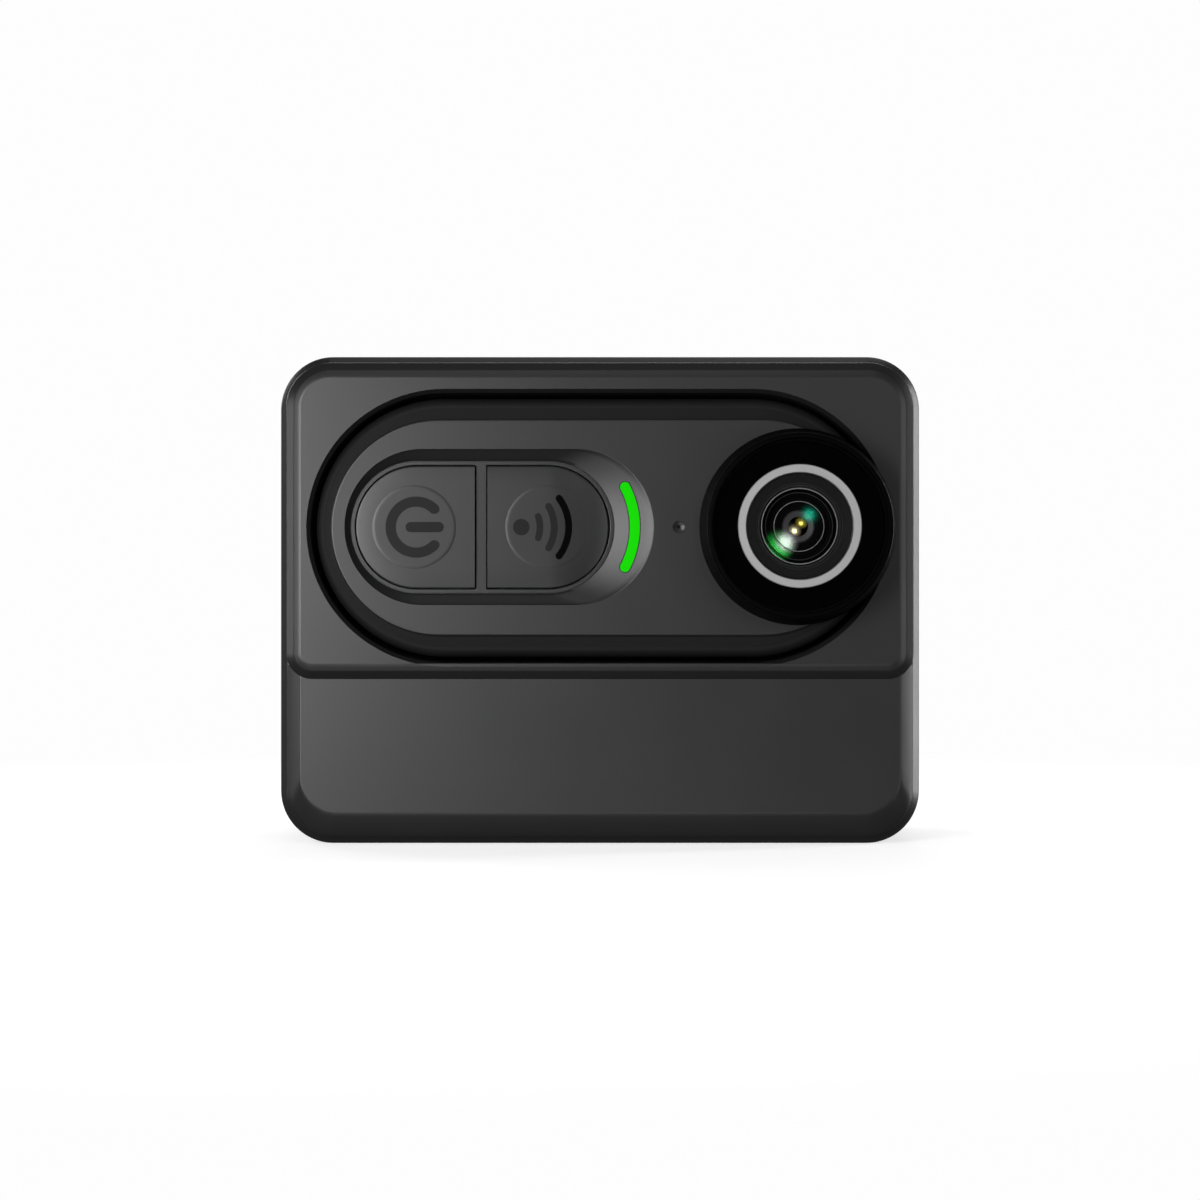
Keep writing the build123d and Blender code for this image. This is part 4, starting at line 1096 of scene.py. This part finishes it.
def make_legends():
    """The power and wireless symbols inlaid in the keys."""
    power_x = POWER_X + 0.2
    curved_bar("power_symbol_arc", power_x, 2.52, 45, 315, 1.02, -1, "power_key", steps=72)
    bar("power_symbol_bar", slot(power_x - 0.55, power_x + 2.22, KEY_Z, 0.51, 16, 4), -1, "power_key")
    dot_x = WIFI_X - 2.57
    bar("wifi_symbol_dot", circle(dot_x, KEY_Z, 0.82, 40), 1, "wifi_key")
    # How far each arc reaches from the dot, half its height, its radius and its width
    arcs = ((1.84, 1.05, 3.2, 0.66), (3.25, 2.05, 4.05, 0.68), (4.68, 2.85, 4.7, 0.68))
    # The outermost arc takes near-black lens_black: painted shade where the key falls away into shadow
    for number, (reach, half, r, width) in enumerate(arcs, start=1):
        angle = degrees(asin(half / r))
        curved_bar(f"wifi_symbol_arc_{number}", dot_x + reach - r, r, -angle, angle, width, 1, "wifi_key",
                   "lens_black" if number == len(arcs) else "ink")


def ramp_y(x, z):
    """Depth of the dished wall at this point, found along the line from the pad's end to the face's."""
    low, high = 0.0, 1.0
    for _ in range(30):
        t = (low + high) / 2
        centre = PAD_RIGHT + (DISH_RIGHT - PAD_RIGHT) * t
        inside = hypot(x - centre, z - KEY_Z) < PAD_R + (DISH_R - PAD_R) * t
        low, high = (low, t) if inside else (t, high)
    return Y_DISH + (Y_FACE - Y_DISH) * low


def ramp_bar(name, width, steps, material, *nodes):
    """A curved bar that follows the ramp. steps are (inset, height above the ramp)."""
    rings = []
    for shrink, lift in steps:
        loop = arc_bar(PAD_RIGHT, KEY_Z, LIGHT_R, -LIGHT_HALF, LIGHT_HALF, width - 2 * shrink)
        rings.append([(x, ramp_y(x, z) - lift, z) for x, z in loop])
    place(solid(name, rings), "camera", material, *nodes)


def make_light():
    """The status light in its dark surround."""
    ramp_bar("status_light_seat", 1.16, ((0, -0.4), (0, 0.0), (0.02, 0.012), (0.4, 0.012)), "ink")
    crown = ((0, -0.6), (0, 0.02), (0.03, 0.045), (0.1, 0.055), (0.3, 0.06), (0.43, 0.062))
    ramp_bar("status_light_bar", 0.98, crown, "status_light", "light_guide")


# ---- Lens ----

LENS_STEPS = 144
TRIM_IN = 5.22          # inner radius of the metal ring
RIBS = 9
# The thin rings: name, radius, half width, depth and material
RETAINERS = (("retainer_outer", 4.24, 0.05, Y_SEAT, "screw"), ("retainer_thin", 3.98, 0.05, Y_SEAT, "screw"),
             ("retainer_bright", 3.7, 0.045, Y_SEAT - 0.06, "steel"),
             ("retainer_inner", 3.3, 0.04, Y_SEAT + 0.5, "screw"),
             ("element_edge", 2.45, 0.03, Y_SEAT + 0.62, "steel"),
             ("aperture_edge", 1.58, 0.03, Y_IRIS - 0.04, "screw"))
BAFFLES = (3.85, 3.3, 2.9)


def turned(name, profile, material, *nodes, closed=True, sharp=SHARP):
    """A piece of the lens, turned about its axis."""
    piece = lathe(name, profile, LENS_X, LENS_Z, LENS_STEPS, sharp, closed)
    place(piece, "camera", material, *nodes)
    return piece


def turned_clear(name, profile, material, node, sharp=50):
    """A clear piece, out of shadow and mirror rays, because the renderer stops after eight clear surfaces."""
    piece = turned(name, profile, material, node, closed=False, sharp=sharp)
    piece.visible_shadow = False
    piece.visible_glossy = False


def element(edge, y_front, front_radius, y_back, back_radius, steps=24):
    """A lens element's outline, from the middle of its front out to its edge and back to the middle behind.
    A positive radius bulges forward, a negative one backward, and 0 is flat."""
    def sag(r, radius):
        return (abs(radius) - sqrt(radius ** 2 - r ** 2)) * (1 if radius > 0 else -1) if radius else 0.0

    reach = [edge * k / steps for k in range(steps + 1)]
    front = [(r, y_front + sag(r, front_radius)) for r in reach]
    return front + [(r, y_back + sag(r, back_radius)) for r in reversed(reach)]


def make_guard():
    """The guard ring, a fine light edge round it, and its window."""
    y_base, y = GUARD[1][1], Y_GUARD
    outer = (GUARD[0][1] - GUARD[0][0]) / 2
    bore = (GUARD_GLASS[0][1] - GUARD_GLASS[0][0]) / 2
    ring = [(BARREL_SEAT, y_base), (outer, y_base), (outer, y_base - 0.3)]
    ring += stepped(y, (bore + 0.57, 0.16), (bore + 0.54, 0.07), (bore + 0.46, 0.01), (bore + 0.42, 0),
                    (bore + 0.1, 0), (bore + 0.05, 0.06), (bore + 0.04, 0.97), (BARREL_SEAT, 0.97))
    turned("guard_ring", ring, "lens_black", "lens_guard", sharp=50)
    r = bore + 0.58
    edge = stepped(y, (r - 0.1, 0.3), (r - 0.1, 0.14), (r - 0.05, 0.11), (r, 0.14), (r + 0.02, 0.3))
    turned("guard_edge", edge, "lens_satin", sharp=60)
    window = stepped(y, (0, 0.95), (bore, 0.95), (bore, 0.2), (bore - 0.08, 0.12), (0, 0.12))
    turned_clear("guard_window", window, "clear_glass", "guard_glass", SHARP)


def make_barrel():
    """The black face, the metal ring, the ribbed throat and the thin rings seated in it."""
    face = stepped(Y_GUARD + 1.15, (6.1, 0.45), (6.1, 0.06), (6.16, 0), (8.2, 0), (8.2, 0.45))
    turned("lens_face", face, "lens_gloss", "lens_mask")
    inner, outer = TRIM_IN, (TRIM[0][1] - TRIM[0][0]) / 2
    ring = stepped(Y_TRIM, (outer, 0.5), (outer, 0.08), (outer - 0.06, 0), (inner + 0.08, 0),
                   (inner + 0.02, 0.06), (inner, 0.5))
    turned("trim_ring", ring, "lens_trim", "lens_trim")
    throat = stepped(Y_TRIM, (5.2, 6), (5.2, 0.12), (5.12, 0.14))
    for k in range(RIBS):
        r = 5.06 - 0.085 * k
        throat += stepped(Y_TRIM + 0.2 + 0.06 * k, (r, 0), (r - 0.015, 0.05), (r - 0.07, 0.05))
    throat += stepped(Y_TRIM, (4.27, 0.8), (4.25, 1.0), (3.85, 1.0), (3.85, 3.2), (3.2, 3.4), (3.2, 6))
    turned("barrel_throat", throat, "lens_satin", "lens_barrel")
    for name, r, half, y, material in RETAINERS:
        ring = stepped(y, (r + half, 0.3), (r + half, 0.04), (r + half * 0.6, 0), (r - half * 0.6, 0),
                       (r - half, 0.04), (r - half, 0.3))
        turned(name, ring, material)


def make_lens():
    """The elements, with the baffles and the iris between them."""
    turned_clear("front_element", element(3.6, Y_SEAT - 0.45, DOME_R, Y_SEAT + 1.05, -14.7), "front_glint_coating",
                 "lens_front_element")
    turned_clear("middle_element", element(3.62, Y_SEAT + 1.3, -22.0, Y_SEAT + 1.62, 0), "green_glint_coating",
                 "lens_inner_element")
    for number, r in enumerate(BAFFLES, start=1):
        baffle = stepped(Y_SEAT + 1.0 + 0.08 * number, (r, 0.08), (r, 0), (r - 0.03, -0.02), (r - 0.34, 0),
                         (r - 0.38, 0.03), (r - 0.38, 0.08))
        turned(f"baffle_{number}", baffle, "lens_black")
    plate = stepped(Y_IRIS, (3.9, 0.3), (3.9, 0), (1.6, 0), (1.55, 0.05), (1.5, 0.3))
    turned("iris_plate", plate, "lens_black", "lens_iris")
    bore = 0.94
    ring = stepped(Y_IRIS, (1.53, 0.3), (1.53, -0.04), (1.5, -0.08), (0.98, -0.02), (bore, 0.05), (bore, 0.3))
    turned("iris_ring", ring, "aperture_grey")
    turned_clear("rear_element", element(bore, Y_IRIS + 0.05, 3.2, Y_IRIS + 0.75, -4.0), "rear_glint_coating",
                 "lens_rear_element")


# ---- Stage, lights and camera ----

FRAME_WIDTH = 119.6     # what the picture takes in at the pod's front edge
DISTANCE = 300.0
SENSOR = 36             # the camera's
CENTRE = (0, 0, 24)     # what the lamps face
SPARK = (14, 13)        # where the lamp that the lens mirrors stands: degrees round and up from the lens
WHITE = 0.985


def area(name, location, size, power, size_y=None, target=CENTRE):
    light = bpy.data.lights.new(name, "AREA")
    light.energy = power
    light.size = size * MM
    if size_y:
        light.shape = "RECTANGLE"
        light.size_y = size_y * MM
    lamp = bpy.data.objects.new(name, light)
    lamp.location = Vector(location) * MM
    lamp.rotation_euler = (Vector(target) - Vector(location)).to_track_quat("-Z", "Y").to_euler()
    bpy.context.collection.objects.link(lamp)
    return lamp


def make_stage():
    """A white floor: it takes soft shadows near the camera and stays plain white further out."""
    half = 4000
    mesh = bpy.data.meshes.new("floor")
    corners = ((-half, -half), (half, -half), (half, half), (-half, half))
    mesh.from_pydata([Vector((x, y, 0)) * MM for x, y in corners], [], [(0, 1, 2, 3)])
    floor = bpy.data.objects.new("floor", mesh)
    bpy.context.collection.objects.link(floor)
    made = Recipe("pale_floor", grey(0.8), 0.9, specular=0.0)
    made.shader.inputs["Emission Color"].default_value = (1, 1, 1, 1)
    made.shader.inputs["Emission Strength"].default_value = 0.62
    plain = made.node("Emission", {"Color": (*grey(WHITE), 1)})
    length = made.node("VectorMath", operation="LENGTH")
    made.links.new(made.place, length.inputs[0])
    reach = {"From Min": 60 * MM, "From Max": 170 * MM}
    fade = made.node("MapRange", reach, interpolation_type="SMOOTHSTEP")
    made.links.new(length.outputs["Value"], fade.inputs["Value"])
    mix = made.node("MixShader")
    made.links.new(fade.outputs["Result"], mix.inputs["Fac"])
    made.links.new(made.shader.outputs["BSDF"], mix.inputs[1])
    made.links.new(plain.outputs["Emission"], mix.inputs[2])
    made.links.new(mix.outputs["Shader"], made.nodes["Material Output"].inputs["Surface"])
    floor.data.materials.append(made.material)
    floor.visible_diffuse = False
    floor.visible_glossy = False
    floor.visible_shadow = False


def make_world():
    """White for the camera, dim grey for everything else."""
    world = bpy.data.worlds.new("studio")
    world.use_nodes = True
    nodes, links = world.node_tree.nodes, world.node_tree.links
    seen, dim = nodes["Background"], nodes.new("ShaderNodeBackground")
    seen.inputs["Color"].default_value = (*grey(WHITE), 1)
    dim.inputs["Color"].default_value = (1, 1, 1, 1)
    dim.inputs["Strength"].default_value = 0.09
    path, mix = nodes.new("ShaderNodeLightPath"), nodes.new("ShaderNodeMixShader")
    links.new(path.outputs["Is Camera Ray"], mix.inputs["Fac"])
    links.new(dim.outputs["Background"], mix.inputs[1])
    links.new(seen.outputs["Background"], mix.inputs[2])
    links.new(mix.outputs["Shader"], nodes["World Output"].inputs["Surface"])
    bpy.context.scene.world = world


def aim(turn, rise, reach, centre=CENTRE):
    """A place this many degrees round to the right and up from straight ahead."""
    t, r = radians(turn), radians(rise)
    x, y, z = centre
    return (x + reach * sin(t) * cos(r), y - reach * cos(t) * cos(r), z + reach * sin(r))


def make_lights():
    area("key", aim(-27, 5, 230), 90, 0.36)
    area("fill_left", aim(-81, 5, 350), 100, 0.2, size_y=140)
    area("fill_top", aim(0, 50, 350), 130, 0.07)
    area("fill_low", aim(-5, -24, 300), 140, 0.08, size_y=60)
    area("bead_right", aim(44, 0, 350), 40, 0.19, size_y=220)
    area("rim_right", aim(108, 8, 350), 60, 0.65, size_y=240)
    area("top_back", aim(165, 55, 420), 260, 0.15)
    area("back_left", aim(-140, 20, 380), 160, 0.4)
    area("back", aim(178, 28, 400), 200, 0.3)
    lens = (LENS_X, Y_GUARD, LENS_Z)
    spark = area("lens_spark", aim(*SPARK, 300, lens), 45, 0.036, target=lens)
    spark.visible_diffuse = False


def make_camera():
    centre_z = middle(HOUSING[2])
    data = bpy.data.cameras.new("view")
    data.sensor_width = SENSOR
    data.lens = SENSOR * DISTANCE / FRAME_WIDTH
    data.clip_start, data.clip_end = 0.01, 20
    camera = bpy.data.objects.new("view", data)
    camera.location = Vector((0, HOUSING[1][0] - DISTANCE, centre_z)) * MM
    camera.rotation_euler = (pi / 2, 0, 0)
    bpy.context.collection.objects.link(camera)
    bpy.context.scene.camera = camera
    bpy.context.scene.view_settings.view_transform = "Standard"


# ---- Everything, in order ----

make_camera()
make_stage()
make_world()
make_lights()
make_housing()
make_front_cover()
make_liner()
make_rear()
make_insert()
make_record_button()
make_side_key()
make_door()
make_door_seal()
make_screen()
make_screen_glass()
make_knuckle()
make_camera_rim()
make_camera_front()
make_camera_rear()
make_contact_plate()
make_pins()
make_key(-1, CUT_LEFT, POWER_X, "power")
make_key(1, CUT_RIGHT, WIFI_X, "wifi")
make_legends()
make_light()
make_guard()
make_barrel()
make_lens()

# The CAD nodes that stay take the material of their slot
for row in frame["record"]["subparts"]:
    node = frame["nodes"][row["node"]]
    dress(node, row["material_slot"])
